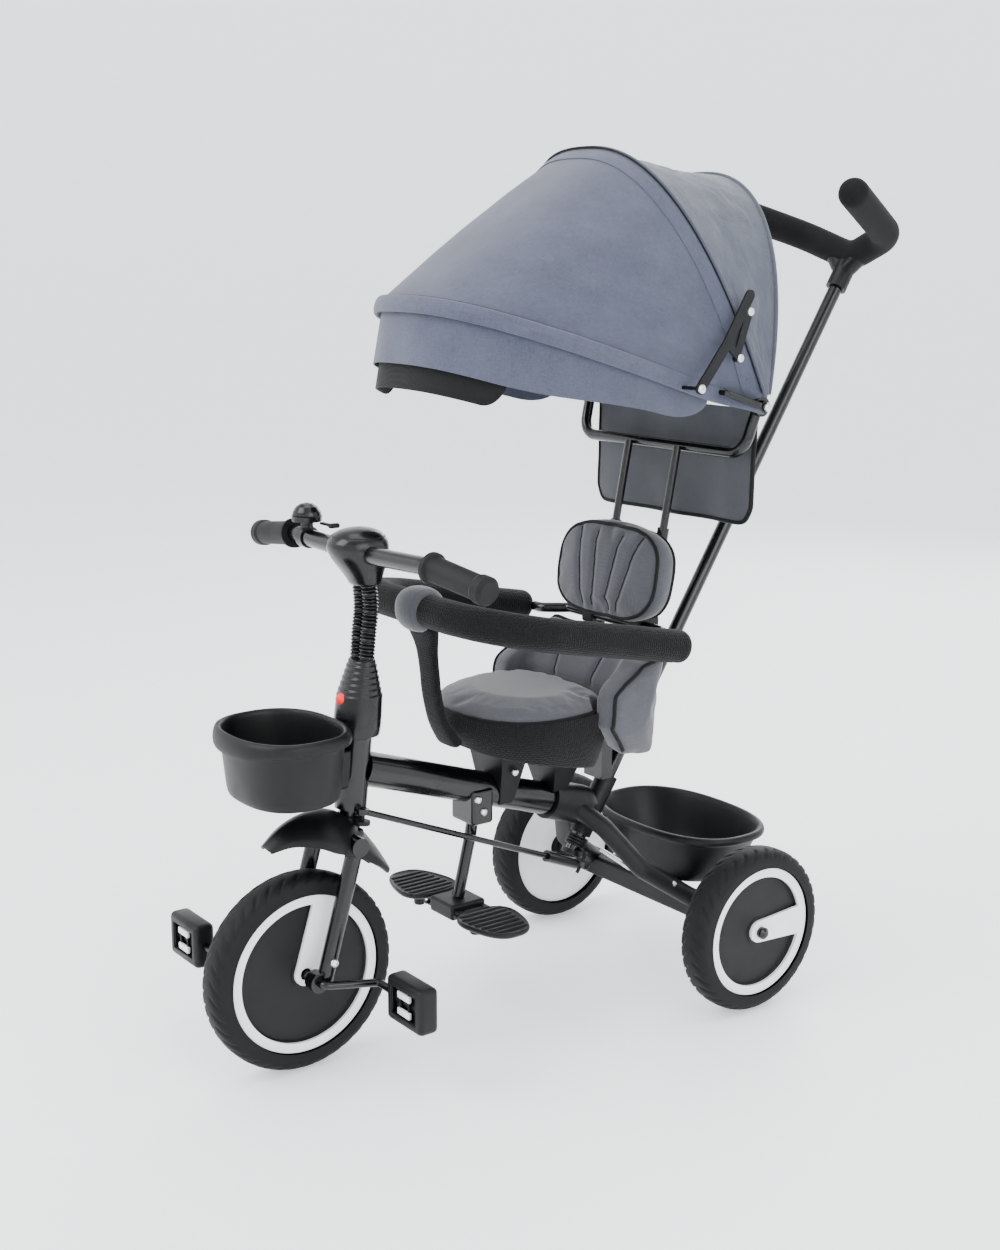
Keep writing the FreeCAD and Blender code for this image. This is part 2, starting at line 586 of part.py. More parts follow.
# ---- guard -------------------------------------------------------------------------
def guard(headrest_clips):
    y_end = GUARD_Y - GUARD_R - 1
    centre_x = POST_X - POST_LEAN * (508 - POST_Z) + SLEEVE_R * 2 + 0.5
    bar = bent_rod([
        Vector(GUARD_PIVOT.x, -y_end, GUARD_PIVOT.z), Vector(GUARD_PIVOT.x, -128, GUARD_PIVOT.z),
        Vector(centre_x, -96, 508), Vector(centre_x, 96, 508),
        Vector(GUARD_PIVOT.x, 128, GUARD_PIVOT.z), Vector(GUARD_PIVOT.x, y_end, GUARD_PIVOT.z),
    ], 7, 16)
    pins = []
    for side in (1, -1):
        start = Vector(GUARD_PIVOT.x, side * (y_end - 1), GUARD_PIVOT.z)
        pins.append(rod(start, start.add(Vector(0, side * 18, 0)), 4))
    PARTS["guard_crossbar"] = bar.fuse(pins)
    clamps = []
    for side in (1, -1):
        low = Vector(centre_x - 28, side * POST_Y - 11, 497)
        high = Vector(centre_x + 10, side * POST_Y + 11, 519)
        clamp = block(low, high, 3).cut(PARTS["guard_crossbar"])
        clamps.append(clamp.cut(rod(post_point(480, side), post_point(540, side), SLEEVE_R)))
    PARTS["post_clamps"] = Part.Compound(clamps + headrest_clips)

    points = [Vector(-58, GUARD_Y, 504), Vector(234, GUARD_Y - 8, 561),
              Vector(234, 8 - GUARD_Y, 561), Vector(-58, -GUARD_Y, 504)]
    foam = bent_rod(points, GUARD_R, 96)
    caps = [Part.makeSphere(GUARD_R, points[0]), Part.makeSphere(GUARD_R, points[3])]
    foam = foam.fuse(caps)
    for side in (1, -1):
        start = Vector(GUARD_PIVOT.x, side * (y_end - 4), GUARD_PIVOT.z)
        foam = foam.cut(rod(start, start.add(Vector(0, side * 22, 0)), 4 + RUN))
        foam = foam.cut(rod(start, start.add(Vector(0, side * 6, 0)), 9))
    pommel = block(Vector(206, -28, 532), Vector(262, 28, 590), 22)
    PARTS["pommel_pad"] = pommel.cut(foam)
    PARTS["guard_foam"] = foam
    strap = bent_rod([Vector(230, 0, 538), Vector(220, 0, 500), Vector(217, 0, 462),
                      Vector(208, 0, 420), Vector(191, 0, 378)], 5.5, 60)
    wide = FreeCAD.Matrix()
    wide.scale(1, 3.3, 1)
    strap = strap.transformGeometry(wide)
    PARTS["crotch_strap"] = strap.cut(PARTS["pommel_pad"]).cut(foam)


# ---- footrest ----------------------------------------------------------------------
def footrest():
    tube = rod(MAIN_REAR, MAIN_FRONT, MAIN_R)
    clamp = block(Vector(136, -25, 268), Vector(170, 25, 316), 5).cut(tube)
    post = bent_rod([Vector(150, 0, 290), Vector(156, 0, 250), Vector(176, 0, 168)], 8, 60)
    core = block(Vector(150, -FOOT_PIVOT_Y + 7, FOOT_Z - 9), Vector(204, FOOT_PIVOT_Y - 7, FOOT_Z + 12), 4)
    ears = []
    for side in (1, -1):
        for x in (152, 192):
            low = Vector(x, min(side * 22, side * (FOOT_PIVOT_Y + 4)), FOOT_Z - 5)
            high = Vector(x + 8, max(side * 22, side * (FOOT_PIVOT_Y + 4)), FOOT_Z + 5)
            ears.append(block(low, high))
    core = core.fuse(ears)
    pins = []
    for side in (1, -1):
        start = Vector(149, side * FOOT_PIVOT_Y, FOOT_Z)
        pins.append(rod(start, start.add(Vector(56, 0, 0)), 2.5))
    core = core.fuse(pins)
    PARTS["footrest_hub"] = core
    PARTS["footrest_post"] = post.fuse(clamp).cut(tube).cut(core)
    for name, side in (("left", 1), ("right", -1)):
        inner = side * (FOOT_PIVOT_Y + 8)
        outer = side * (FOOT_PIVOT_Y + 98)
        outline = [Vector(128, inner, 0), Vector(140, outer, 0), Vector(176, outer + side * 5, 0),
                   Vector(214, outer, 0), Vector(228, inner, 0)]
        face = Part.Face(Part.makePolygon(outline + outline[:1]))
        plate = face.extrude(Vector(0, 0, 12))
        plate.translate(Vector(0, 0, FOOT_Z - 4))
        plate = plate.makeFillet(2.5, plate.Edges)
        x_low = 161
        barrel = rod(Vector(x_low, side * FOOT_PIVOT_Y, FOOT_Z), Vector(x_low + 30, side * FOOT_PIVOT_Y, FOOT_Z), 5)
        low = Vector(x_low, min(side * FOOT_PIVOT_Y, inner + side * 4), FOOT_Z - 4)
        high = Vector(x_low + 30, max(side * FOOT_PIVOT_Y, inner + side * 4), FOOT_Z + 4)
        plate = plate.fuse([barrel, block(low, high)])
        bore = rod(Vector(140, side * FOOT_PIVOT_Y, FOOT_Z), Vector(210, side * FOOT_PIVOT_Y, FOOT_Z), 2.5 + RUN)
        PARTS["footplate_" + name] = plate.cut(bore)


# ---- canopy ------------------------------------------------------------------------
def bow_points(bow, grow, start, count=9):
    """Points of one half of a bow, from the pivot side to the front middle."""
    tilt, straight, reach, half, power = bow
    tilt = math.radians(tilt)
    points = []
    points.append((start, half + grow))
    for step in range(1 if straight <= start else 0, count + 1):
        angle = math.pi / 2 * (1 - step / count)
        along = straight + (reach + grow) * math.cos(angle) ** (2 / power)
        side = (half + grow) * math.sin(angle) ** (2 / power)
        if along > start + 1:
            points.append((along, side))
    place = []
    for along, side in points:
        place.append(CANOPY.add(Vector(along * math.cos(tilt), side, along * math.sin(tilt))))
    return place


def bow_curve(bow, grow, start):
    left = bow_points(bow, grow, start)
    right = [Vector(p.x, -p.y, p.z) for p in reversed(left[:-1])]
    return left + right


def bow_band(bow, grow, start):
    """Closed wire of a cloth's thickness along a bow."""
    outer = bow_curve(bow, grow + CLOTH, start)
    inner = bow_curve(bow, grow, start)
    edges = [smooth(outer), Part.LineSegment(outer[-1], inner[-1]).toShape(),
             smooth(list(reversed(inner))), Part.LineSegment(inner[0], outer[0]).toShape()]
    return Part.Wire(edges)


def bow_bar(bow):
    return bent_rod(bow_curve(bow, -6, 14), BOW_R, 50)


def canopy_frame():
    corners = [Vector(-178, 166, 806), Vector(-160, 160, 743),
               Vector(-160, -160, 743), Vector(-178, -166, 806)]
    hanger = bent_rod(corners, 7.5, 26)
    rods = []
    for side in (1, -1):
        rods.append(rod(post_point(530, side), post_point(744, side), ROD_R).cut(hanger))
    bows = [bow_bar(MID_BOW), bow_bar(REAR_BOW)]
    hubs = []
    rivets = []
    for side in (1, -1):
        base = CANOPY.add(Vector(0, side * 167, 0))
        hub = rod(base, base.add(Vector(0, side * 9, 0)), 13)
        pin = rod(base.add(Vector(0, side * 9, 0)), base.add(Vector(0, side * 16, 0)), 3)
        head = rod(base.add(Vector(0, side * 16, 0)), base.add(Vector(0, side * 18, 0)), 5.5)
        hubs.append(hub)
        rivets.append(pin.fuse(head))
    PARTS["canopy_hanger"] = hanger.fuse(rods + hubs).removeSplitter()
    PARTS["canopy_bows"] = Part.Compound([bow.cut(PARTS["canopy_hanger"]) for bow in bows])
    return rivets


def canopy_front():
    bar = bow_bar(FRONT_BOW)
    arms = []
    for side in (1, -1):
        centre = CANOPY.add(Vector(0, side * 176.5, 0))
        eye = rod(centre, centre.add(Vector(0, side * 5.5, 0)), 8)
        tilt = math.radians(FRONT_BOW[0])
        along = Vector(math.cos(tilt), 0, math.sin(tilt))
        up = Vector(-along.z, 0, along.x)
        root = centre.add(Vector(0, side * 3, 0))
        corners = [root.add(up * 3), root.add(along * 76).add(up),
                   root.add(along * 76).sub(up * 5), root.sub(up * 6)]
        tongue = Part.Face(Part.makePolygon(corners + corners[:1])).extrude(Vector(0, side * 2.5, 0))
        spacer = rod(CANOPY.add(along * 68).add(Vector(0, side * 154, 0)),
                     CANOPY.add(along * 68).add(Vector(0, side * 180.5, 0)), 3.5)
        arm = eye.fuse([tongue, spacer])
        arm = arm.cut(rod(CANOPY.add(Vector(0, side * 150, 0)), CANOPY.add(Vector(0, side * 200, 0)), 3 + RUN))
        arms.append(arm)
    PARTS["front_bow"] = bar.fuse(arms)


def canopy_cloth():
    start = 70
    front = Part.makeLoft([bow_band(FRONT_BOW, 0, start), bow_band(MID_BOW, 0, start)], True, True)
    PARTS["canopy_front_cloth"] = front
    shell = Part.makeLoft([bow_band(MID_BOW, 0, 34), bow_band(REAR_BOW, 0, 34)], True, True)
    tilt = math.radians(REAR_BOW[0])
    outline = bow_curve(REAR_BOW, -11, 34)
    edge = [smooth(outline), Part.LineSegment(outline[-1], outline[0]).toShape()]
    back_face = Part.Face(Part.Wire(edge))
    rearward = Vector(-math.sin(tilt), 0, math.cos(tilt))
    back = back_face.extrude(rearward * CLOTH)
    PARTS["canopy_rear_cloth"] = Part.Compound([shell, back])

    tilt = math.radians(FRONT_BOW[0])
    down = Vector(math.sin(tilt), 0, -math.cos(tilt))
    band = Part.Face(bow_band(FRONT_BOW, 0, 76)).extrude(down * 58)
    band.translate(down * 5)
    PARTS["canopy_valance"] = band
    flap = Part.Face(bow_band(FRONT_BOW, -11, 310)).extrude(down * 48)
    flap.translate(down * 46)
    PARTS["canopy_visor"] = flap
    curtain = [(-180, 796), (-184, 800), (-174, 646), (-170, 646)]
    PARTS["rear_curtain"] = outline_block(curtain, -156, 156).cut(PARTS["canopy_hanger"])


def canopy_stays(pivot_rivets):
    """Elbow stays: a long blade on the front bow and a short link on the middle bow."""
    blades = []
    links = []
    low_pins = []
    high_pins = []
    for side in (1, -1):
        def place(point, y):
            return Vector(point.x, side * y, point.z)
        blade = flat_link([STAY_LOW, Vector(-92, 0, 886), Vector(-128, 0, 944)], 7, side, 193, 3)
        ear = flat_link([Vector(-92, 0, 886), STAY_ELBOW], 5, side, 193, 3)
        stud = rod(place(STAY_ELBOW, 189.8), place(STAY_ELBOW, 194), 3)
        blade = blade.fuse([ear, stud])
        blades.append(blade.cut(rod(place(STAY_LOW, 180), place(STAY_LOW, 200), 2.5 + RUN)))
        link = flat_link([STAY_ELBOW, STAY_HIGH], 5.5, side, 187, 2.5)
        links.append(link.cut(rod(place(STAY_HIGH, 180), place(STAY_HIGH, 200), 2.5 + RUN)))
        low_pins.append(riveted(place(STAY_LOW, 155), place(STAY_LOW, 196.3), side))
        high_pins.append(riveted(place(STAY_HIGH, 176), place(STAY_HIGH, 189.7), side))
    PARTS["stay_blades"] = Part.Compound(blades)
    PARTS["stay_links"] = Part.Compound(links)
    PARTS["front_bow"] = PARTS["front_bow"].fuse(low_pins)
    PARTS["canopy_rivets"] = Part.Compound(high_pins + pivot_rivets)
    PARTS["canopy_valance"] = PARTS["canopy_valance"].cut(low_pins)
    PARTS["canopy_rear_cloth"] = PARTS["canopy_rear_cloth"].cut(high_pins)


def riveted(start, end, side):
    """Round pin with a flat head at its outer end."""
    return rod(start, end, 2.5).fuse(rod(end, end.add(Vector(0, side * 2, 0)), 5))


def flat_link(points, half_width, side, y, thickness):
    """Flat bar with round ends through points, parallel to the wheels' faces."""
    pieces = []
    out = Vector(0, side * thickness, 0)
    for start, end in zip(points, points[1:]):
        a = Vector(start.x, side * y, start.z)
        b = Vector(end.x, side * y, end.z)
        along = b.sub(a).normalize()
        across = Vector(-along.z, 0, along.x) * half_width
        corners = [a.add(across), b.add(across), b.sub(across), a.sub(across)]
        pieces.append(Part.Face(Part.makePolygon(corners + corners[:1])).extrude(out))
        pieces.append(rod(a, a.add(out), half_width))
        pieces.append(rod(b, b.add(out), half_width))
    return pieces[0].fuse(pieces[1:]).removeSplitter()


def relieve(name, *neighbours):
    """Cut a soft or moulded part back where it lies against its neighbours."""
    PARTS[name] = PARTS[name].cut([PARTS[other] for other in neighbours])


def main():
    os.makedirs("parts", exist_ok=True)
    front_wheel()
    rear_wheel("left", 1)
    rear_wheel("right", -1)
    crank_and_pedals()
    main_frame()
    seat_mounting()
    seat()
    headrest_clips = headrest()
    baskets()
    fork()
    fender()
    stem()
    handlebar()
    bell()
    steering_link()
    push_handle()
    guard(headrest_clips)
    footrest()
    pivot_rivets = canopy_frame()
    canopy_front()
    canopy_cloth()
    canopy_stays(pivot_rivets)
    relieve("canopy_front_cloth", "front_bow")
    relieve("canopy_visor", "canopy_valance")
    relieve("back_cushion", "backrest_posts", "guard_crossbar", "post_clamps")
    relieve("headrest_pad", "guard_crossbar", "post_clamps")
    relieve("stem_bellows", "fork", "stem_cover", "handlebar_cover")
    for name, shape in PARTS.items():
        shape.exportStep("parts/" + name + ".step")
        box = shape.BoundBox
        print(name, len(shape.Solids), shape.isValid(), round(shape.Volume / 1000, 1),
              [round(v) for v in (box.XMin, box.XMax, box.YMin, box.YMax, box.ZMin, box.ZMax)])


main()
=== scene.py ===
import math

import bmesh
import bpy
from bpy.props import FloatProperty, FloatVectorProperty, PointerProperty
from bpy.types import Operator, Panel, PropertyGroup
from mathutils import Euler, Matrix, Quaternion, Vector, noise
from mathutils.kdtree import KDTree
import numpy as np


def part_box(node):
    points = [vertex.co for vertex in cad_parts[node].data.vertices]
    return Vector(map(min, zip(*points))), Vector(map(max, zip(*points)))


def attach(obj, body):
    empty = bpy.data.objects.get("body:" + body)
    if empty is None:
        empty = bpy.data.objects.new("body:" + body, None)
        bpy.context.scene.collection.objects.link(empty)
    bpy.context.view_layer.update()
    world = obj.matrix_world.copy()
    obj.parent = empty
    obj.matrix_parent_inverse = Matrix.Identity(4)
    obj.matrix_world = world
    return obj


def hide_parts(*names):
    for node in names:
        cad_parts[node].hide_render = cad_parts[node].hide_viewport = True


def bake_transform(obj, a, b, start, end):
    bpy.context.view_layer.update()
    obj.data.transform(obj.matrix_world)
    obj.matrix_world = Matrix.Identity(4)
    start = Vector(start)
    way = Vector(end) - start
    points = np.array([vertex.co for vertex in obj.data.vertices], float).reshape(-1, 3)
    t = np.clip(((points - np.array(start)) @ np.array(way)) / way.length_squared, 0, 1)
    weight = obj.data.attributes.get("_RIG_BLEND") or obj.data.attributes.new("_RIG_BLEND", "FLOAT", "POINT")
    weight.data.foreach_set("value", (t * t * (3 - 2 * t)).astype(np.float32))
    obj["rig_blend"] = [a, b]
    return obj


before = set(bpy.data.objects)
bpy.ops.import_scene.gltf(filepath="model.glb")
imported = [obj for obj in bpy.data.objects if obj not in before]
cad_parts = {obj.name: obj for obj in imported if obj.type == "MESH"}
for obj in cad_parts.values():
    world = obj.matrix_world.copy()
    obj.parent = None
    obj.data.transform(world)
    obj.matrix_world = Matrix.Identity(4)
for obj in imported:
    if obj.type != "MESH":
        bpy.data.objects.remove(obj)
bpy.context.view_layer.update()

bl_info = {
    "name": "Children's tricycle",
    "version": (1, 0, 0),
    "blender": (4, 5, 0),
    "location": "View3D > Sidebar > Tricycle",
    "description": "Fabric, tyres, mouldings and finishes on the tricycle's CAD frame",
    "category": "Object",
}

MM = 0.001

# Bows of the canopy, as in the CAD: tilt, straight run, reach of the curve, half width, fullness
PIVOT = Vector((-0.176, 0, 0.804))
FRONT_BOW = (17.3, 137.0, 314.0, 158.0, 2.7)
MID_BOW = (64.0, 0.0, 349.0, 181.0, 2.6)
REAR_BOW = (99.0, 0.0, 293.0, 180.0, 2.4)
STAY_LOW = Vector((-49, 0, 833)) * MM
STAY_HIGH = Vector((-134, 0, 924)) * MM
STAY_ELBOW = Vector((-114, 0, 868)) * MM
FRONT_HUB = Vector((419, 0, 127)) * MM
SEAT_SLOPE = math.tan(math.radians(12.6))
REAR_HUB = Vector((-156, 208.5, 112)) * MM


def linear(code):
    """Linear colour of an sRGB hex code."""
    values = [int(code[i:i + 2], 16) / 255 for i in (1, 3, 5)]
    return tuple(v / 12.92 if v <= 0.04045 else ((v + 0.055) / 1.055) ** 2.4 for v in values)


# ---- settings -------------------------------------------------------------------------
def colour(name, description, code):
    return FloatVectorProperty(name=name, description=description, default=linear(code),
                               subtype="COLOR", size=3, min=0, max=1)


def length(name, description, default):
    return FloatProperty(name=name, description=description, default=default,
                         unit="LENGTH", min=0)


class TricycleColours(PropertyGroup):
    canopy: colour("Canopy", "Blue-grey heather canvas of the canopy", "#535769")
    canopy_dark: colour("Canopy yarn", "Darker yarn in the canvas", "#3e4151")
    rear: colour("Rear canopy", "Cooler grey yarn at the back of the canopy", "#5a5f69")
    seat: colour("Seat", "Brushed grey seat fabric", "#4c4c52")
    seat_dark: colour("Seat yarn", "Darker nap in the seat fabric", "#3a3a40")
    mesh: colour("Mesh", "Black spacer mesh", "#0a0a0c")
    binding: colour("Binding", "Black woven binding tape", "#08080a")
    curtain: colour("Curtain", "Grey rear curtain", "#4a4b52")
    plastic: colour("Plastic", "Black moulded plastic", "#070709")
    paint: colour("Paint", "Black paint on the steel tubes", "#050506")
    tyre: colour("Tyre", "Foam tyre", "#0b0b0d")
    disc: colour("Disc", "Wheel discs", "#0d0e10")
    white: colour("White", "White trim rings", "#f0f0f2")
    red: colour("Red", "Release button", "#ee3333")
    floor: colour("Floor", "Studio floor", "#f6f8f9")


class TricycleSizes(PropertyGroup):
    bulge: length("Cloth bulge", "How far the canopy cloth bows out between its bows", 0.006)
    band: length("Arch band", "Width of the band sewn over the middle bow", 0.025)
    brim: length("Brim height", "Height of the padded brim along the front bow", 0.021)
    valance: length("Valance depth", "Depth of the valance at the front", 0.066)
    groove: length("Tread groove", "Depth of the tyre's tread grooves", 0.0022)
    piping: length("Piping", "Radius of the seat's piping", 0.0026)


# ---- materials ------------------------------------------------------------------------
def add(material, kind, inputs=None, **settings):
    """Add a shader node. A value of inputs is a number, a colour or another node's output."""
    node = material.node_tree.nodes.new(kind)
    for key, value in settings.items():
        setattr(node, key, value)
    for key, value in (inputs or {}).items():
        if isinstance(value, bpy.types.NodeSocket):
            material.node_tree.links.new(value, node.inputs[key])
        else:
            node.inputs[key].default_value = value
    return node


def opaque(values):
    return (*values[:3], 1.0)


def shade(values, factor):
    return (values[0] * factor, values[1] * factor, values[2] * factor, 1.0)


def new_material(name):
    """An empty material with its output, and the shader that everything feeds."""
    material = bpy.data.materials.new(name)
    material.use_nodes = True
    material.node_tree.nodes.clear()
    shader = add(material, "ShaderNodeBsdfPrincipled")
    add(material, "ShaderNodeOutputMaterial", {"Surface": shader.outputs["BSDF"]})
    return material, shader


def link(material, output, socket):
    material.node_tree.links.new(output, socket)


def mixed(material, factor, low, high, blend="MIX"):
    """Colour mixed between two colours or colour outputs."""
    node = material.node_tree.nodes.new("ShaderNodeMix")
    node.data_type = "RGBA"
    node.blend_type = blend
    for key, value in ((0, factor), (6, low), (7, high)):
        if isinstance(value, bpy.types.NodeSocket):
            material.node_tree.links.new(value, node.inputs[key])
        else:
            node.inputs[key].default_value = value
    return node.outputs[2]


def woven(name, main, second, thread, coords="Object", roughness=0.85, sheen=0.25,
          slub=1.0, wrinkle=0.0, relief=0.00035):
    """Woven cloth: mottled yarn colour with some painted shade of soft wrinkles, over and under threads,
    soft sheen.
    """
    material, shader = new_material(name)
    where = add(material, "ShaderNodeTexCoord").outputs[coords]
    flecks = []
    for stretch in ((90, 900, 500), (900, 90, 500)):
        placed = add(material, "ShaderNodeMapping", {"Vector": where, "Scale": stretch})
        yarn = add(material, "ShaderNodeTexNoise",
                   {"Vector": placed.outputs[0], "Scale": 1.0, "Detail": 3.0, "Roughness": 0.6})
        flecks.append(yarn.outputs["Fac"])
    both = add(material, "ShaderNodeMath", {0: flecks[0], 1: flecks[1]}, operation="ADD")
    # the large cloud mottles the yarn colour and also paints soft shade, as of wrinkles, over the cloth
    cloud = add(material, "ShaderNodeTexNoise",
                {"Vector": where, "Scale": 14.0, "Detail": 4.0, "Roughness": 0.65})
    total = add(material, "ShaderNodeMath", {0: both.outputs[0], 1: cloud.outputs["Fac"]},
                operation="ADD")
    spread = 0.30 / max(slub, 0.1)
    share = add(material, "ShaderNodeMapRange",
                {"Value": total.outputs[0], "From Min": 1.5 - spread, "From Max": 1.5 + spread})
    tint = mixed(material, share.outputs["Result"], opaque(second), opaque(main))
    # real threads are finer than 1 mm; they are drawn at the thread size given so that they show
    scale = 0.314 / thread
    bands = []
    for direction in ("X", "Y"):
        wave = add(material, "ShaderNodeTexWave",
                   {"Vector": where, "Scale": scale, "Distortion": 0.6, "Detail": 1.0},
                   bands_direction=direction)
        bands.append(wave.outputs["Fac"])
    third = add(material, "ShaderNodeTexWave", {"Vector": where, "Scale": scale, "Distortion": 0.6},
                bands_direction="Z")
    weave = add(material, "ShaderNodeMath", {0: bands[0], 1: bands[1]}, operation="MULTIPLY")
    if coords == "Object":
        weave = add(material, "ShaderNodeMath",
                    {0: weave.outputs[0], 1: third.outputs["Fac"]}, operation="ADD")
    dark = add(material, "ShaderNodeMapRange",
               {"Value": weave.outputs[0], "From Max": 0.9, "To Min": 0.86, "To Max": 1.0})
    shaded = mixed(material, 1.0, tint, dark.outputs["Result"], "MULTIPLY")
    link(material, shaded, shader.inputs["Base Color"])
    fine = add(material, "ShaderNodeBump",
               {"Height": weave.outputs[0], "Strength": 0.5, "Distance": relief})
    last = fine
    if wrinkle:
        fold = add(material, "ShaderNodeTexNoise",
                   {"Vector": where, "Scale": 17.0, "Detail": 2.0, "Distortion": 1.2})
        last = add(material, "ShaderNodeBump",
                   {"Height": fold.outputs["Fac"], "Strength": 0.6, "Distance": wrinkle,
                    "Normal": fine.outputs[0]})
    link(material, last.outputs[0], shader.inputs["Normal"])
    shader.inputs["Roughness"].default_value = roughness
    shader.inputs["Sheen Weight"].default_value = sheen
    shader.inputs["Sheen Roughness"].default_value = 0.5
    shader.inputs["Specular IOR Level"].default_value = 0.2
    return material


def spacer_mesh(name, main, pitch=0.0034):
    """Knitted spacer mesh: rows of small open holes with rounded walls between them, the holes painted dark
    as the shade inside them.
    """
    material, shader = new_material(name)
    where = add(material, "ShaderNodeTexCoord").outputs["Object"]
    cells = add(material, "ShaderNodeTexVoronoi",
                {"Vector": where, "Scale": 1 / pitch, "Randomness": 0.35})
    hole = add(material, "ShaderNodeMapRange",
               {"Value": cells.outputs["Distance"], "From Min": 0.15, "From Max": 0.55})
    # painted shade: the holes are darkened to a third of the yarn colour, as the shade inside the openings
    tint = mixed(material, hole.outputs["Result"], shade(main, 0.35), shade(main, 1.25))
    link(material, tint, shader.inputs["Base Color"])
    bump = add(material, "ShaderNodeBump",
               {"Height": hole.outputs["Result"], "Strength": 0.8, "Distance": 0.0009})
    link(material, bump.outputs[0], shader.inputs["Normal"])
    shader.inputs["Roughness"].default_value = 0.82
    shader.inputs["Sheen Weight"].default_value = 0.06
    shader.inputs["Specular IOR Level"].default_value = 0.15
    return material


def moulded(name, main, roughness, grain=0.0009, relief=0.00006, coat=0.0, vary=0.06,
            specular=0.25):
    """Injection-moulded plastic or paint: even colour, fine grain, soft uneven gloss."""
    material, shader = new_material(name)
    where = add(material, "ShaderNodeTexCoord").outputs["Object"]
    cloud = add(material, "ShaderNodeTexNoise", {"Vector": where, "Scale": 22.0, "Detail": 3.0})
    tint = mixed(material, cloud.outputs["Fac"], shade(main, 0.9), shade(main, 1.1))
    link(material, tint, shader.inputs["Base Color"])
    gloss = add(material, "ShaderNodeMapRange",
                {"Value": cloud.outputs["Fac"], "From Min": 0.3, "From Max": 0.7,
                 "To Min": roughness - vary, "To Max": roughness + vary})
    link(material, gloss.outputs["Result"], shader.inputs["Roughness"])
    speck = add(material, "ShaderNodeTexNoise", {"Vector": where, "Scale": 1 / grain, "Detail": 2.0})
    bump = add(material, "ShaderNodeBump",
               {"Height": speck.outputs["Fac"], "Strength": 0.5, "Distance": relief})
    link(material, bump.outputs[0], shader.inputs["Normal"])
    shader.inputs["Specular IOR Level"].default_value = specular
    shader.inputs["Coat Weight"].default_value = coat
    shader.inputs["Coat Roughness"].default_value = 0.12
    return material


def foam_skin(name, main, cell=0.0016, relief=0.0003, roughness=0.8):
    """Closed-cell foam: fine cells in a dull skin."""
    material, shader = new_material(name)
    where = add(material, "ShaderNodeTexCoord").outputs["Object"]
    cells = add(material, "ShaderNodeTexVoronoi", {"Vector": where, "Scale": 1 / cell})
    cloud = add(material, "ShaderNodeTexNoise", {"Vector": where, "Scale": 30.0, "Detail": 4.0})
    tint = mixed(material, cloud.outputs["Fac"], shade(main, 0.85), shade(main, 1.15))
    link(material, tint, shader.inputs["Base Color"])
    bump = add(material, "ShaderNodeBump",
               {"Height": cells.outputs["Distance"], "Strength": 0.6, "Distance": relief})
    link(material, bump.outputs[0], shader.inputs["Normal"])
    shader.inputs["Roughness"].default_value = roughness
    shader.inputs["Specular IOR Level"].default_value = 0.2
    return material


def metal(name, main, roughness):
    """Plated steel: bright, with a faint drawn grain."""
    material, shader = new_material(name)
    where = add(material, "ShaderNodeTexCoord").outputs["Object"]
    grain = add(material, "ShaderNodeTexNoise", {"Vector": where, "Scale": 900.0, "Detail": 2.0})
    gloss = add(material, "ShaderNodeMapRange",
                {"Value": grain.outputs["Fac"], "To Min": roughness * 0.7, "To Max": roughness * 1.4})
    link(material, gloss.outputs["Result"], shader.inputs["Roughness"])
    shader.inputs["Base Color"].default_value = opaque(main)
    shader.inputs["Metallic"].default_value = 1.0
    return material


MATERIALS = {}


def make_materials(tints):
    made = {}
    # solution-dyed polyester canvas, plain weave: mottled blue-grey yarn, dry surface
    made["heather_canvas"] = woven("heather_canvas", tints.canopy, tints.canopy_dark, 0.0011,
                                   "UV", slub=0.8, wrinkle=0.0012)
    # the same canvas on the back, with the cooler yarn and the creases of folding
    made["rear_canvas"] = woven("rear_canvas", tints.rear, tints.canopy_dark, 0.0011,
                                "UV", slub=0.7, wrinkle=0.004)
    # brushed polyester knit: short nap, soft edge light
    made["brushed_knit"] = woven("brushed_knit", tints.seat, tints.seat_dark, 0.0010,
                                 sheen=0.4, slub=0.6, relief=0.00018)
    # warp-knitted spacer mesh: holes painted as dark dots, the shade inside them
    made["spacer_mesh"] = spacer_mesh("spacer_mesh", tints.mesh)
    # woven nylon binding tape: fine ribs, low gloss
    made["binding_tape"] = woven("binding_tape", tints.binding, tints.mesh, 0.0013,
                                 roughness=0.7, sheen=0.05, relief=0.0003)
    # coated polyester curtain: even grey, slightly shiny
    made["curtain_cloth"] = woven("curtain_cloth", tints.curtain, tints.seat_dark, 0.0012,
                                  "UV", roughness=0.6, slub=0.4, wrinkle=0.0015)
    # polypropylene, spark-eroded mould texture: satin black
    made["grained_plastic"] = moulded("grained_plastic", tints.plastic, 0.46)
    # ABS, polished mould: glossier black
    made["gloss_plastic"] = moulded("gloss_plastic", tints.plastic, 0.27, relief=0.00002, coat=0.2)
    # epoxy powder coat on steel tube: glossy with a slight orange peel
    made["powder_coat"] = moulded("powder_coat", tints.paint, 0.24, 0.0018, 0.00005, coat=0.35)
    # moulded EVA foam tyre: dull, fine pebble
    made["eva_tyre"] = foam_skin("eva_tyre", tints.tyre, 0.0012, 0.0001, 0.62)
    # wheel disc, polypropylene with a matt face
    made["disc_plastic"] = moulded("disc_plastic", tints.disc, 0.55)
    # NBR foam sleeve: visible cells
    made["foam_sleeve"] = foam_skin("foam_sleeve", tints.mesh, 0.0016, 0.0004, 0.85)
    # thermoplastic rubber grip
    made["grip_rubber"] = moulded("grip_rubber", tints.plastic, 0.6, 0.0011, 0.0001)
    # high-density polyethylene trim, moulded white
    made["white_plastic"] = moulded("white_plastic", tints.white, 0.35)
    # polypropylene button, moulded red
    made["red_plastic"] = moulded("red_plastic", tints.red, 0.35)
    # zinc-plated steel fasteners
    made["zinc_steel"] = metal("zinc_steel", linear("#d8dadd"), 0.25)
    # acrylic reflector: pale, glossy
    made["reflector"] = moulded("reflector", linear("#dfe3e8"), 0.15, coat=0.5)
    MATERIALS.update(made)


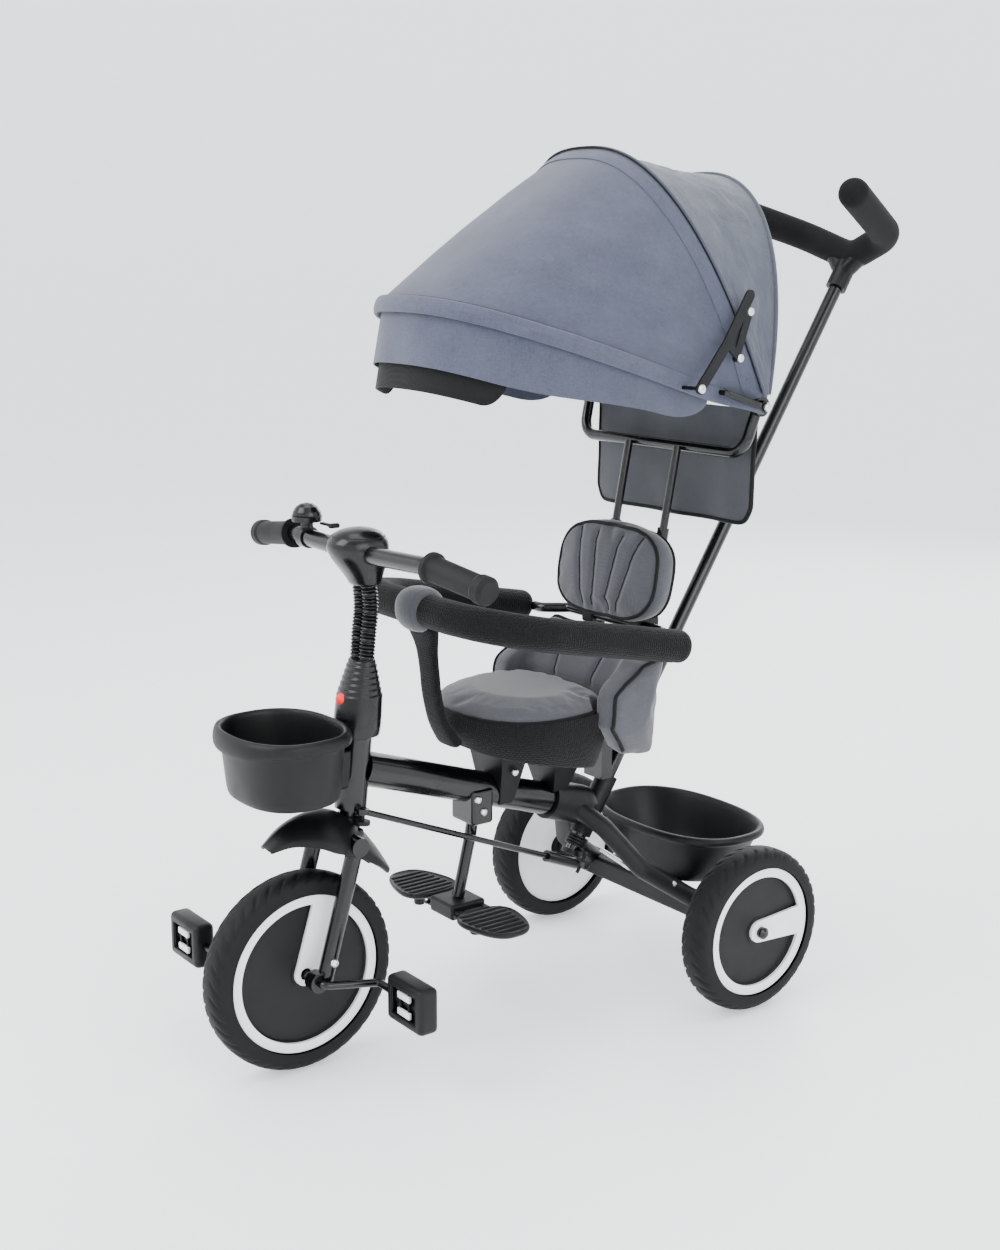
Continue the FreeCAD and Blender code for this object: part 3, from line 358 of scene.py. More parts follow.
# Finish of each CAD node that stays visible
FINISHES = {
    "powder_coat": ["main_tube", "fork", "handlebar_tube", "push_tube", "crank_shaft", "tie_rod",
                    "backrest_posts", "canopy_hanger", "canopy_bows", "front_bow",
                    "guard_crossbar", "footrest_post", "rear_axle"],
    "grained_plastic": ["rear_yoke", "seat_brackets", "front_basket_bracket", "steering_arm",
                        "post_clamps", "footrest_hub", "seat_pan", "push_crank", "push_hub",
                        "stay_blades", "stay_links", "bell_lever", "rear_basket"],
    "gloss_plastic": ["stem_cover", "stem_bellows", "bell_housing", "handlebar_cover"],
    "grip_rubber": ["handlebar_grips"],
    "disc_plastic": ["front_wheel_disc", "rear_wheel_disc_left", "rear_wheel_disc_right"],
    "white_plastic": ["front_wheel_trim", "rear_wheel_trim_left", "rear_wheel_trim_right"],
    "red_plastic": ["release_button"],
    "zinc_steel": ["canopy_rivets"],
}
SPARE_FINISH = "grained_plastic"


# ---- mesh helpers ---------------------------------------------------------------------
def deselect():
    if bpy.context.object and bpy.context.object.mode != "OBJECT":
        bpy.ops.object.mode_set(mode="OBJECT")
    bpy.ops.object.select_all(action="DESELECT")


def choose(piece):
    """Make one piece the only selected and the active one."""
    deselect()
    piece.select_set(True)
    bpy.context.view_layer.objects.active = piece


def named(name):
    piece = bpy.context.object
    piece.name = name
    piece.data.name = name
    return piece


def settle(piece):
    """Put the piece's place into its mesh."""
    choose(piece)
    bpy.ops.object.transform_apply(location=True, rotation=True, scale=True)


def modify(piece, kind, **settings):
    """Add a modifier and apply it."""
    choose(piece)
    modifier = piece.modifiers.new(kind.lower(), kind)
    for key, value in settings.items():
        setattr(modifier, key, value)
    bpy.ops.object.modifier_apply(modifier=modifier.name)


def outward(piece, merge=0.0):
    """Merge doubles, then turn all faces outwards."""
    choose(piece)
    bpy.ops.object.mode_set(mode="EDIT")
    bpy.ops.mesh.select_all(action="SELECT")
    if merge:
        bpy.ops.mesh.remove_doubles(threshold=merge)
    bpy.ops.mesh.normals_make_consistent(inside=False)
    bpy.ops.object.mode_set(mode="OBJECT")


def finish_piece(piece, material, body, replaces=(), angle=40):
    """Material, smooth faces, body and the CAD nodes that the piece stands for."""
    piece.data.materials.clear()
    piece.data.materials.append(MATERIALS[material])
    choose(piece)
    bpy.ops.object.shade_smooth_by_angle(angle=math.radians(angle))
    if body:
        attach(piece, body)
    if replaces:
        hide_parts(*replaces)
    return piece


def joined(pieces, name):
    """Join pieces into the first one."""
    choose(pieces[0])
    for piece in pieces[1:]:
        piece.select_set(True)
    bpy.ops.object.join()
    return named(name)


def cloth_grid(name, columns, rows, place, size):
    """A grid whose vertices are put at place(u, v), with a UV map in metres."""
    deselect()
    bpy.ops.mesh.primitive_grid_add(x_subdivisions=columns, y_subdivisions=rows, size=1)
    piece = named(name)
    for vertex in piece.data.vertices:
        vertex.co = place(vertex.co.x + 0.5, vertex.co.y + 0.5)
    for corner in piece.data.uv_layers[0].data:
        corner.uv = (corner.uv[0] * size[0], corner.uv[1] * size[1])
    return piece


def thicken(piece, thickness, offset=-1):
    modify(piece, "SOLIDIFY", thickness=thickness, offset=offset)


def tube(name, points, radius, closed=False, sides=4, steps=6):
    """Round bar or piping along a smooth line through control points."""
    deselect()
    bpy.ops.curve.primitive_nurbs_path_add()
    piece = named(name)
    curve = piece.data
    curve.splines.clear()
    spline = curve.splines.new("NURBS")
    spline.points.add(len(points) - 1)
    for control, point in zip(spline.points, points):
        control.co = (*point, 1)
    spline.order_u = 3
    spline.use_cyclic_u = closed
    spline.use_endpoint_u = not closed
    spline.resolution_u = steps
    curve.bevel_depth = radius
    curve.bevel_resolution = sides
    curve.use_fill_caps = not closed
    bpy.ops.object.convert(target="MESH")
    return named(name)


def turned(name, outline, centre, axis=(0, 0, 1), sides=64):
    """Lathe-turned piece: a circle extruded and resized along an outline of (radius, height)."""
    deselect()
    bpy.ops.mesh.primitive_circle_add(vertices=sides, radius=max(outline[0][0], 1e-5),
                                      location=(0, 0, outline[0][1]), fill_type="NOTHING")
    piece = named(name)
    settle(piece)
    bpy.ops.object.mode_set(mode="EDIT")
    bpy.ops.mesh.select_all(action="SELECT")
    last_radius, last_height = outline[0]
    last_radius = max(last_radius, 1e-5)
    for radius, height in outline[1:]:
        radius = max(radius, 1e-5)
        bpy.ops.mesh.extrude_edges_move(
            TRANSFORM_OT_translate={"value": (0, 0, height - last_height)})
        share = radius / last_radius
        bpy.ops.transform.resize(value=(share, share, 1), center_override=(0, 0, height))
        last_radius, last_height = radius, height
    bpy.ops.object.mode_set(mode="OBJECT")
    outward(piece, 2e-5)
    turn = Vector((0, 0, 1)).rotation_difference(Vector(axis).normalized())
    piece.matrix_world = Matrix.Translation(centre) @ turn.to_matrix().to_4x4()
    settle(piece)
    return piece


def bow_line(bow, grow, start, count):
    """Evenly spaced points along a bow, from the left side over the top to the right."""
    tilt, straight, reach, half, power = bow
    beyond = max((start - straight) / (reach + grow), 0)
    fine = [(start, (half + grow) * (1 - beyond ** power) ** (1 / power))]
    for step in range(0, 121):
        angle = math.pi / 2 * (1 - step / 120)
        along = straight + (reach + grow) * math.cos(angle) ** (2 / power)
        side = (half + grow) * math.sin(angle) ** (2 / power)
        if along > start + 0.5:
            fine.append((along, side))
    fine += [(along, -side) for along, side in reversed(fine[:-1])]
    steps = [math.dist(a, b) for a, b in zip(fine, fine[1:])]
    total = sum(steps)
    spots, index, gone = [], 0, 0.0
    for number in range(count + 1):
        target = total * number / count
        while index < len(steps) - 1 and gone + steps[index] < target:
            gone += steps[index]
            index += 1
        share = min(max((target - gone) / steps[index], 0), 1)
        along = fine[index][0] + (fine[index + 1][0] - fine[index][0]) * share
        side = fine[index][1] + (fine[index + 1][1] - fine[index][1]) * share
        spots.append((along, side))
    angle = math.radians(tilt)
    return [PIVOT + Vector((a * math.cos(angle), s, a * math.sin(angle))) * MM for a, s in spots]


def at(line, u):
    """Point of a polyline at a share u of its count."""
    spot = min(max(u, 0), 1) * (len(line) - 1)
    index = min(int(spot), len(line) - 2)
    return line[index].lerp(line[index + 1], spot - index)


def ease(value):
    value = min(max(value, 0), 1)
    return value * value * (3 - 2 * value)


def ripple(point, size, seed=0.0):
    """Repeatable small wave of a cloth, from -1 to 1."""
    return noise.noise(Vector((point.x / size + seed, point.y / size, point.z / size)))


def bow_direction(bow):
    angle = math.radians(bow[0])
    return Vector((math.cos(angle), 0, math.sin(angle)))


class TricycleCanopyCloth(Operator):
    """Front and rear cloth of the canopy, with the band and piping over the middle bow"""
    bl_idname = "tricycle.canopy_cloth"
    bl_label = "Canopy cloth"

    def execute(self, context):
        sizes = context.scene.tricycle_sizes
        low = bow_line(FRONT_BOW, 1.5, 20, 160)
        high = bow_line(MID_BOW, 3.5, 16, 160)
        inside = PIVOT + Vector((0.06, 0, 0.04))

        def front(u, v):
            point = at(low, u).lerp(at(high, u), v)
            swell = 4 * v * (1 - v) * sizes.bulge * ease(4 * u * (1 - u))
            crease = 0.0009 * ripple(point, 0.05) * 4 * v * (1 - v)
            return point + (point - inside).normalized() * (swell - crease)

        cloth = cloth_grid("canopy_front_panel", 160, 36, front, (0.95, 0.32))
        outward_from(cloth, inside)
        thicken(cloth, 0.0018)
        finish_piece(cloth, "heather_canvas", None, ["canopy_front_cloth"], 60)
        fan(cloth)

        rear_low = bow_line(REAR_BOW, 3.5, 16, 160)

        def rear(u, v):
            point = at(high, u).lerp(at(rear_low, u), v)
            hollow = 4 * v * (1 - v) * 0.004 * ease(5 * u * (1 - u))
            fold = 0.0042 * ripple(point, 0.055, 3) + 0.0020 * ripple(point, 0.024, 9)
            return point + (inside - point).normalized() * (hollow + fold * 4 * v * (1 - v))

        shell = cloth_grid("canopy_rear_panel", 160, 30, rear, (0.9, 0.22))
        outward_from(shell, inside)
        thicken(shell, 0.0018)
        finish_piece(shell, "rear_canvas", "canopy_carriage",
                     ["canopy_rear_cloth"], 60)

        edge = bow_line(REAR_BOW, 1.0, 30, 120)

        def back(u, v):
            rim = at(edge, u)
            foot = Vector((PIVOT.x - 0.006, rim.y * 0.96, PIVOT.z + 0.022))
            point = rim.lerp(foot, v)
            fold = 0.007 * ripple(point, 0.06, 5) + 0.003 * ripple(point, 0.025, 7)
            return point + Vector((-1, 0, 0)) * (0.008 * math.sin(math.pi * v) + fold * ease(6 * v))

        panel = cloth_grid("canopy_back_panel", 120, 40, back, (0.34, 0.28))
        outward_from(panel, inside)
        thicken(panel, 0.0016)
        finish_piece(panel, "rear_canvas", "canopy_carriage", (), 60)

        def band(u, v):
            length_here = (at(high, u) - at(low, u)).length
            share = 1 - sizes.band * v / max(length_here, 0.03)
            point = front(u, share)
            lift = 0.0016 + 0.0012 * math.sin(math.pi * v)
            return point + (point - inside).normalized() * lift

        arch = cloth_grid("canopy_arch_band", 160, 8, band, (0.95, 0.025))
        outward_from(arch, inside)
        thicken(arch, 0.0018)
        finish_piece(arch, "heather_canvas", None, (), 60)
        fan(arch)

        seam = bow_line(MID_BOW, 6.6, 14, 60)
        cord = tube("canopy_arch_piping", seam, 0.0021)
        finish_piece(cord, "heather_canvas", "canopy_carriage")
        beside = Vector((0.0042, 0, 0.0012))
        row = [p + (p - inside).normalized() * 0.0008 + beside for p in bow_line(MID_BOW, 4.6, 20, 60)]
        stitch = tube("canopy_arch_seam", row, 0.0011)
        finish_piece(stitch, "binding_tape", "canopy_carriage")
        rear_seam = tube("canopy_rear_piping", bow_line(REAR_BOW, 4.6, 16, 60), 0.0026)
        finish_piece(rear_seam, "rear_canvas", "canopy_carriage")
        return {"FINISHED"}


def outward_from(piece, inside):
    """Turn an open sheet's faces away from a point inside the object."""
    choose(piece)
    faces = piece.data.polygons
    tally = sum((face.center - inside).dot(face.normal) * face.area for face in faces)
    if tally < 0:
        bpy.ops.object.mode_set(mode="EDIT")
        bpy.ops.mesh.select_all(action="SELECT")
        bpy.ops.mesh.flip_normals()
        bpy.ops.object.mode_set(mode="OBJECT")


def fan(piece):
    """Let a cloth between the middle bow and the front bow turn evenly with its angle."""
    start = PIVOT + bow_direction(MID_BOW) * 0.3
    end = PIVOT + bow_direction(FRONT_BOW) * 0.3
    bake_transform(piece, "canopy_carriage", "canopy_front", start=tuple(start), end=tuple(end))
    weights = piece.data.attributes["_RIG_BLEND"].data
    for vertex, weight in zip(piece.data.vertices, weights):
        arm = vertex.co - PIVOT
        angle = math.degrees(math.atan2(arm.z, arm.x))
        weight.value = min(max((MID_BOW[0] - angle) / (MID_BOW[0] - FRONT_BOW[0]), 0), 1)


class TricycleCanopyTrim(Operator):
    """Padded brim, valance and black visor flap on the front bow"""
    bl_idname = "tricycle.canopy_trim"
    bl_label = "Canopy brim"

    def execute(self, context):
        sizes = context.scene.tricycle_sizes
        line = bow_line(FRONT_BOW, 2.0, -6, 200)
        out_axis = bow_direction(FRONT_BOW)
        down = Vector((out_axis.z, 0, -out_axis.x))

        def brim(u, v):
            centre = at(line, u)
            along = (centre - PIVOT).dot(out_axis)
            near = 1 - ease((along - 0.01) / 0.075)
            side = 1 if centre.y > 0 else -1
            centre = centre + Vector((0, side * 0.0195 * near, 0))
            away = at(line, min(u + 0.004, 1)) - at(line, max(u - 0.004, 0))
            normal = away.cross(down).normalized()
            if normal.dot(centre - PIVOT - out_axis * 0.25) < 0:
                normal = -normal
            thick = 0.0046 - 0.0030 * near
            end = math.sqrt(ease((u if u < 0.5 else 1 - u) / 0.008))
            high = sizes.brim / 2 * (1 - 0.35 * near) * end
            angle = 2 * math.pi * v
            puff = math.copysign(abs(math.cos(angle)) ** 0.7, math.cos(angle))
            return centre + normal * thick * puff + down * (high * math.sin(angle) + 0.004)

        band = cloth_grid("canopy_brim", 200, 24, brim, (1.15, 0.055))
        outward(band, 1e-5)
        finish_piece(band, "heather_canvas", "canopy_front", (), 60)
        top = [brim(u / 90, 0.70) + Vector((0, 0, 0.0006)) for u in range(1, 90)]
        seam = tube("canopy_brim_seam", top, 0.0009)
        finish_piece(seam, "binding_tape", "canopy_front")

        hang = bow_line(FRONT_BOW, -3.5, 76, 180)

        def valance(u, v):
            point = at(hang, u)
            along = (point - PIVOT).dot(out_axis)
            share = ease((along - 0.13) / 0.25)
            depth = 0.040 + (sizes.valance - 0.040) * share
            depth *= math.sqrt(max(1 - (1 - min((along - 0.074) / 0.075, 1)) ** 2, 0.0))
            inward = Vector((0, -point.y, 0)) * 0.03 * v - out_axis * 0.005 * v
            wave = 0.0016 * ripple(point, 0.05, 2) * v
            return point + down * (0.008 + depth * v) + inward + Vector((wave, wave, 0))

        skirt = cloth_grid("canopy_valance_cloth", 180, 14, valance, (1.02, 0.066))
        outward_from(skirt, PIVOT + out_axis * 0.2)
        thicken(skirt, 0.0018)
        outward(skirt, 1e-5)
        finish_piece(skirt, "heather_canvas", "canopy_front",
                     ["canopy_valance"], 60)

        front = bow_line(FRONT_BOW, -13.0, 362, 120)

        def visor(u, v):
            point = at(front, u)
            end = min(u, 1 - u) / 0.09
            depth = 0.062 + 0.040 * (math.sqrt(max(1 - (1 - min(end, 1)) ** 2, 0)))
            return point + down * (0.045 + (depth - 0.045) * v) - out_axis * 0.006 * v

        flap = cloth_grid("canopy_visor_flap", 120, 10, visor, (0.33, 0.055))
        outward_from(flap, PIVOT + out_axis * 0.2)
        thicken(flap, 0.0022)
        finish_piece(flap, "binding_tape", "canopy_front", ["canopy_visor"], 60)
        return {"FINISHED"}


class TricycleCurtain(Operator):
    """Rear curtain with its binding"""
    bl_idname = "tricycle.curtain"
    bl_label = "Rear curtain"

    def execute(self, context):
        low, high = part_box("rear_curtain")

        def place(u, v):
            y = (u - 0.5) * 0.308
            z = low.z + 0.003 + (high.z - low.z - 0.004) * v
            corner = max(abs(y) - 0.134, 0)
            rise = 0.020 - math.sqrt(max(0.020 ** 2 - min(corner, 0.02) ** 2, 0))
            z += rise * (1 - v)
            x = -0.1835 + (z - 0.646) * -0.02
            wave = 0.0022 * math.sin(y * 55 + 1) * (1 - v) + 0.0016 * ripple(Vector((0, y, z)), 0.05)
            return Vector((x + wave, y, z))

        cloth = cloth_grid("rear_curtain_cloth", 72, 36, place, (0.308, 0.15))
        outward_from(cloth, Vector((0, 0, 0.72)))
        thicken(cloth, 0.0016)
        finish_piece(cloth, "curtain_cloth", "canopy_carriage", ["rear_curtain"], 60)
        rim = [place(0, 1 - i / 14) for i in range(14)]
        rim += [place(i / 40, 0) for i in range(41)]
        rim += [place(1, i / 14) for i in range(1, 15)]
        binding = tube("rear_curtain_binding", rim, 0.0032)
        finish_piece(binding, "binding_tape", "canopy_carriage")
        return {"FINISHED"}


class TricycleRivets(Operator):
    """Domed rivets of the canopy's pivots and stays"""
    bl_idname = "tricycle.rivets"
    bl_label = "Canopy rivets"

    def execute(self, context):
        heads = [("canopy_carriage", "pivot", PIVOT, 0.1862, 0.0058),
                 ("canopy_carriage", "high", STAY_HIGH, 0.1912, 0.0052),
                 ("canopy_front", "low", STAY_LOW, 0.1978, 0.0056),
                 ("stay_blades", "elbow", STAY_ELBOW, 0.1962, 0.0052)]
        for body, name, spot, y, radius in heads:
            dome = [(radius, -0.003), (radius, 0.0006)]
            for step in range(1, 7):
                angle = step / 6 * math.pi / 2
                dome.append((radius * math.cos(angle), 0.0006 + 0.0018 * math.sin(angle)))
            for side, label in ((1, "left"), (-1, "right")):
                head = turned(f"rivet_{name}_{label}", dome, Vector((spot.x, side * y, spot.z)),
                              (0, side, 0), 24)
                finish_piece(head, "zinc_steel", body, angle=50)
        return {"FINISHED"}


def spaced(path, step, dome):
    """Points along a path, closer together where its ends are domed."""
    reach = [0.0]
    for a, b in zip(path, path[1:]):
        reach.append(reach[-1] + (b - a).length)
    total = reach[-1]
    ends = [dome * (1 - math.cos(i / 7 * math.pi / 2)) for i in range(8)] if dome else [0.0]
    middle = total - 2 * ends[-1]
    count = max(int(middle / step), 2)
    wanted = ends[:-1] + [ends[-1] + middle * i / count for i in range(count + 1)]
    wanted += [total - d for d in reversed(ends[:-1])]
    points, index = [], 0
    for distance in wanted:
        while index < len(path) - 2 and reach[index + 1] < distance:
            index += 1
        share = (distance - reach[index]) / max(reach[index + 1] - reach[index], 1e-9)
        points.append(path[index].lerp(path[index + 1], min(max(share, 0), 1)))
    return points, wanted, total


def rounded_path(points, radius, step=0.004):
    """Dense points along straight runs joined by arcs of one radius, in metres."""
    line = [points[0]]
    for before, corner, after in zip(points, points[1:], points[2:]):
        into = (corner - before).normalized()
        out = (after - corner).normalized()
        turn = into.angle(out)
        start = corner - into * (radius * math.tan(turn / 2))
        centre = start + (out - into * into.dot(out)).normalized() * radius
        axis = into.cross(out).normalized()
        count = max(int(radius * turn / step), 4)
        for index in range(count + 1):
            line.append(centre + Quaternion(axis, turn * index / count) @ (start - centre))
    line.append(points[-1])
    dense = [line[0]]
    for a, b in zip(line, line[1:]):
        count = max(int((b - a).length / step + 0.5), 1)
        dense += [a.lerp(b, index / count) for index in range(1, count + 1)]
    return dense


def rounded(u, power):
    """Cosine and sine of a share of a turn, squared off by a power above 2."""
    angle = 2 * math.pi * u
    c = math.copysign(abs(math.cos(angle)) ** (2 / power), math.cos(angle))
    s = math.copysign(abs(math.sin(angle)) ** (2 / power), math.sin(angle))
    return c, s


def sweep(name, path, size, sides=28, step=0.005, dome=0.0, up=(0, 0, 1), power=2.0):
    """Skin round a path. size(distance, total) gives the half height and half width there."""
    points, distances, total = spaced(path, step, dome)
    frames = []
    normal = Vector(up)
    for index, point in enumerate(points):
        ahead = points[min(index + 1, len(points) - 1)] - points[max(index - 1, 0)]
        ahead.normalize()
        normal = (normal - ahead * normal.dot(ahead)).normalized()
        frames.append((point, normal.copy(), ahead.cross(normal)))
    last = len(points) - 1

    def place(u, v):
        index = round(v * last)
        point, high, wide = frames[index]
        distance = distances[index]
        near = min(distance, total - distance)
        close = math.sqrt(max(1 - (1 - min(near / dome, 1)) ** 2, 0)) if dome else 1
        tall, broad = size(distance, total)
        c, s = rounded(u, power)
        return point + high * (tall * close * c) + wide * (broad * close * s)

    piece = cloth_grid(name, sides, last, place, (0.14, total))
    if not dome:
        choose(piece)
        bpy.ops.object.mode_set(mode="EDIT")
        bpy.ops.mesh.select_all(action="SELECT")
        bpy.ops.mesh.remove_doubles(threshold=1e-5)
        bpy.ops.mesh.select_all(action="DESELECT")
        bpy.ops.mesh.select_non_manifold()
        bpy.ops.mesh.edge_face_add()
        bpy.ops.object.mode_set(mode="OBJECT")
    outward(piece, 1e-5)
    return piece


def oval_shell(name, rings, sides=96, shape=None, smooth=1):
    """Moulded shell through level rounded ovals: (centre x, half x, half y, height, power)."""
    def place(u, v):
        x, half_x, half_y, z, power = rings[round(v * (len(rings) - 1))]
        c, s = rounded(u, power)
        point = Vector((x + half_x * c, half_y * s, z)) * MM
        return shape(point, v) if shape else point

    piece = cloth_grid(name, sides, len(rings) - 1, place, (0.5, 0.2))
    outward(piece, 2e-6)
    if smooth:
        modify(piece, "SUBSURF", levels=smooth, render_levels=smooth)
    return piece


def snap(points, piece, lift):
    """Lay points on a piece's surface, raised by lift."""
    laid = []
    for point in points:
        _, spot, normal, _ = piece.closest_point_on_mesh(point)
        laid.append(spot + normal * lift)
    return laid


def channel(piece, line, depth, width):
    """Press a sewn channel into a pad along a line."""
    mesh = piece.data
    tree = KDTree(len(line))
    for index, point in enumerate(line):
        tree.insert(point, index)
    tree.balance()
    for vertex in mesh.vertices:
        distance = tree.find(vertex.co)[2]
        if distance < width * 3:
            vertex.co -= vertex.normal * depth * math.exp(-(distance / width) ** 2)


def dense(points, step=0.002):
    """A polyline divided into short steps."""
    line = [points[0]]
    for a, b in zip(points, points[1:]):
        count = max(int((b - a).length / step), 1)
        line += [a.lerp(b, index / count) for index in range(1, count + 1)]
    return line


# ---- pads -----------------------------------------------------------------------------
def pad(node, name, voxel, smooth, swell=0.0, cap=0.008, shrink=0.002):
    """Soft pad from a CAD solid: remeshed, drawn in a little, then swelled as stuffed cloth."""
    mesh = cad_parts[node].data.copy()
    piece = bpy.data.objects.new(name, mesh)
    context = bpy.context
    context.scene.collection.objects.link(piece)
    mesh.name = name
    outward(piece, 2e-5)
    modify(piece, "REMESH", mode="VOXEL", voxel_size=voxel)
    modify(piece, "SMOOTH", factor=0.5, iterations=smooth)
    modify(piece, "DISPLACE", strength=-shrink, mid_level=0.0)
    if swell:
        stuff(piece, swell, cap)
    modify(piece, "SUBSURF", levels=1, render_levels=1)
    return piece


def stuff(piece, pressure, cap):
    """Swell a closed pad by cloth under pressure, with each point's move capped."""
    scene = bpy.context.scene
    rest = [vertex.co.copy() for vertex in piece.data.vertices]
    choose(piece)
    cloth = piece.modifiers.new("cloth", "CLOTH")
    cloth.settings.quality = 5
    cloth.settings.use_pressure = True
    cloth.settings.uniform_pressure_force = pressure
    cloth.settings.effector_weights.gravity = 0
    cloth.point_cache.frame_start = 1
    cloth.point_cache.frame_end = 20
    for number in range(1, 21):
        scene.frame_set(number)
    shaped = piece.evaluated_get(bpy.context.evaluated_depsgraph_get()).data
    moved = [vertex.co.copy() for vertex in shaped.vertices]
    piece.modifiers.remove(cloth)
    for vertex, start, end in zip(piece.data.vertices, rest, moved):
        step = end - start
        if step.length > cap:
            step *= cap / step.length
        vertex.co = start + step
    scene.frame_set(1)


class TricycleSeat(Operator):
    """Seat cushion, its mesh skirt, the back cushion with wings, and the piping"""
    bl_idname = "tricycle.seat"
    bl_label = "Seat"

    def execute(self, context):
        radius = context.scene.tricycle_sizes.piping
        seat = pad("seat_cushion", "seat_cushion_cover", 0.005, 6, 4.0, 0.007)
        finish_piece(seat, "brushed_knit", "frame", ["seat_cushion"], 80)
        seat.data.materials.append(MATERIALS["spacer_mesh"])
        for face in seat.data.polygons:
            face.material_index = int(face.center.z < 0.4175)

        back = pad("back_cushion", "back_cushion_cover", 0.005, 14, 4.0, 0.006, 0.001)
        seams = []
        for y in (-0.038, 0.038):
            line = dense([Vector((-0.020, y, 0.436)), Vector((-0.030, y * 1.15, 0.470)),
                          Vector((-0.048, y * 1.2, 0.497))])
            line = snap(line, back, 0)
            channel(back, line, 0.003, 0.005)
            seams.append(line)
        finish_piece(back, "brushed_knit", "frame", ["back_cushion"], 80)
        threads = [tube("thread", snap(line, back, 0.0002), 0.0009) for line in seams]
        thread = joined(threads, "back_cushion_seams")
        finish_piece(thread, "binding_tape", "frame")

        ring = []
        for step in range(-64, 65):
            angle = step / 64 * math.radians(141)
            c = math.copysign(abs(math.cos(angle)) ** 0.83, math.cos(angle))
            s = math.copysign(abs(math.sin(angle)) ** 0.83, math.sin(angle))
            ring.append(Vector((76 + 107 * c, 113 * s, 418)) * MM)
        piping = tube("seat_cushion_piping", snap(ring, seat, 0.0006), radius)
        finish_piece(piping, "binding_tape", "frame")

        edge = [Vector((x, 134, z)) * MM for x, z in
                ((8, 362), (28, 398), (25, 444), (2, 464), (-28, 483), (-52, 491), (-72, 496))]
        edge = dense(edge, 0.006)
        edge += [Vector((p.x, -p.y, p.z)) for p in reversed(edge)]
        edge = dense(edge, 0.006)
        edge = snap(edge, back, 0.0008)
        welt = tube("back_cushion_piping", edge, radius)
        finish_piece(welt, "binding_tape", "frame")

        def skirt(u, v):
            angle = 2 * math.pi * u
            c = math.copysign(abs(math.cos(angle)) ** 0.83, math.cos(angle))
            s = math.copysign(abs(math.sin(angle)) ** 0.83, math.sin(angle))
            drop = min(v / 0.7, 1)
            under = max(v - 0.7, 0) / 0.3
            draw = drop ** 2.4
            x = 76 - 4 * draw + (106.5 - 15 * draw) * (1 - under) * c
            y = (112.5 - 20 * draw) * (1 - under) * s
            hem = 348 + (x - 72) * SEAT_SLOPE
            z = 417 + (hem - 417) * drop
            wave = 1 + 0.004 * ripple(Vector((c, s, v)), 0.4) * drop
            return Vector((x, y * wave, z)) * MM

        cover = cloth_grid("seat_skirt", 128, 30, skirt, (0.8, 0.1))
        outward(cover, 1e-5)
        finish_piece(cover, "spacer_mesh", "frame", ["seat_pan"], 70)
        return {"FINISHED"}


class TricycleHeadrest(Operator):
    """Headrest pad with its piping and radiating channels"""
    bl_idname = "tricycle.headrest"
    bl_label = "Headrest"

    def execute(self, context):
        radius = context.scene.tricycle_sizes.piping
        cushion = pad("headrest_pad", "headrest_cushion", 0.005, 6, 4.0, 0.006)
        lean = math.atan(0.194)
        centre = Vector((-0.078, 0, 0.577))
        up = Vector((-math.sin(lean), 0, math.cos(lean)))
        forward = Vector((math.cos(lean), 0, math.sin(lean)))
        lines = []
        for start, end in ((-12, -26), (-36, -66), (12, 26), (36, 66)):
            line = []
            for step in range(24):
                share = step / 23
                y = start + (end - start) * share ** 1.3
                z = -60 + 118 * share
                line.append(centre + up * z * MM + Vector((0, y * MM, 0)) + forward * 0.03)
            lines.append(snap(dense(line), cushion, 0))
        for line in lines:
            channel(cushion, line, 0.0034, 0.0055)
        finish_piece(cushion, "brushed_knit", "frame", ["headrest_pad"], 80)
        threads = [tube("thread", snap(line, cushion, 0.0001), 0.0009) for line in lines]
        thread = joined(threads, "headrest_seams")
        finish_piece(thread, "binding_tape", "frame")
        for name, level, half_z, half_y in (("front", 0.012, 66, 104), ("rear", -0.026, 66, 104)):
            ring = []
            for step in range(72):
                angle = 2 * math.pi * step / 72
                c = math.copysign(abs(math.cos(angle)) ** 0.67, math.cos(angle))
                s = math.copysign(abs(math.sin(angle)) ** 0.67, math.sin(angle))
                ring.append(centre + up * (half_z * c * MM) + Vector((0, half_y * s * MM, 0))
                            + forward * level)
            piping = tube(f"headrest_piping_{name}", snap(ring, cushion, 0.0006), radius, closed=True)
            finish_piece(piping, "binding_tape", "frame")
        return {"FINISHED"}


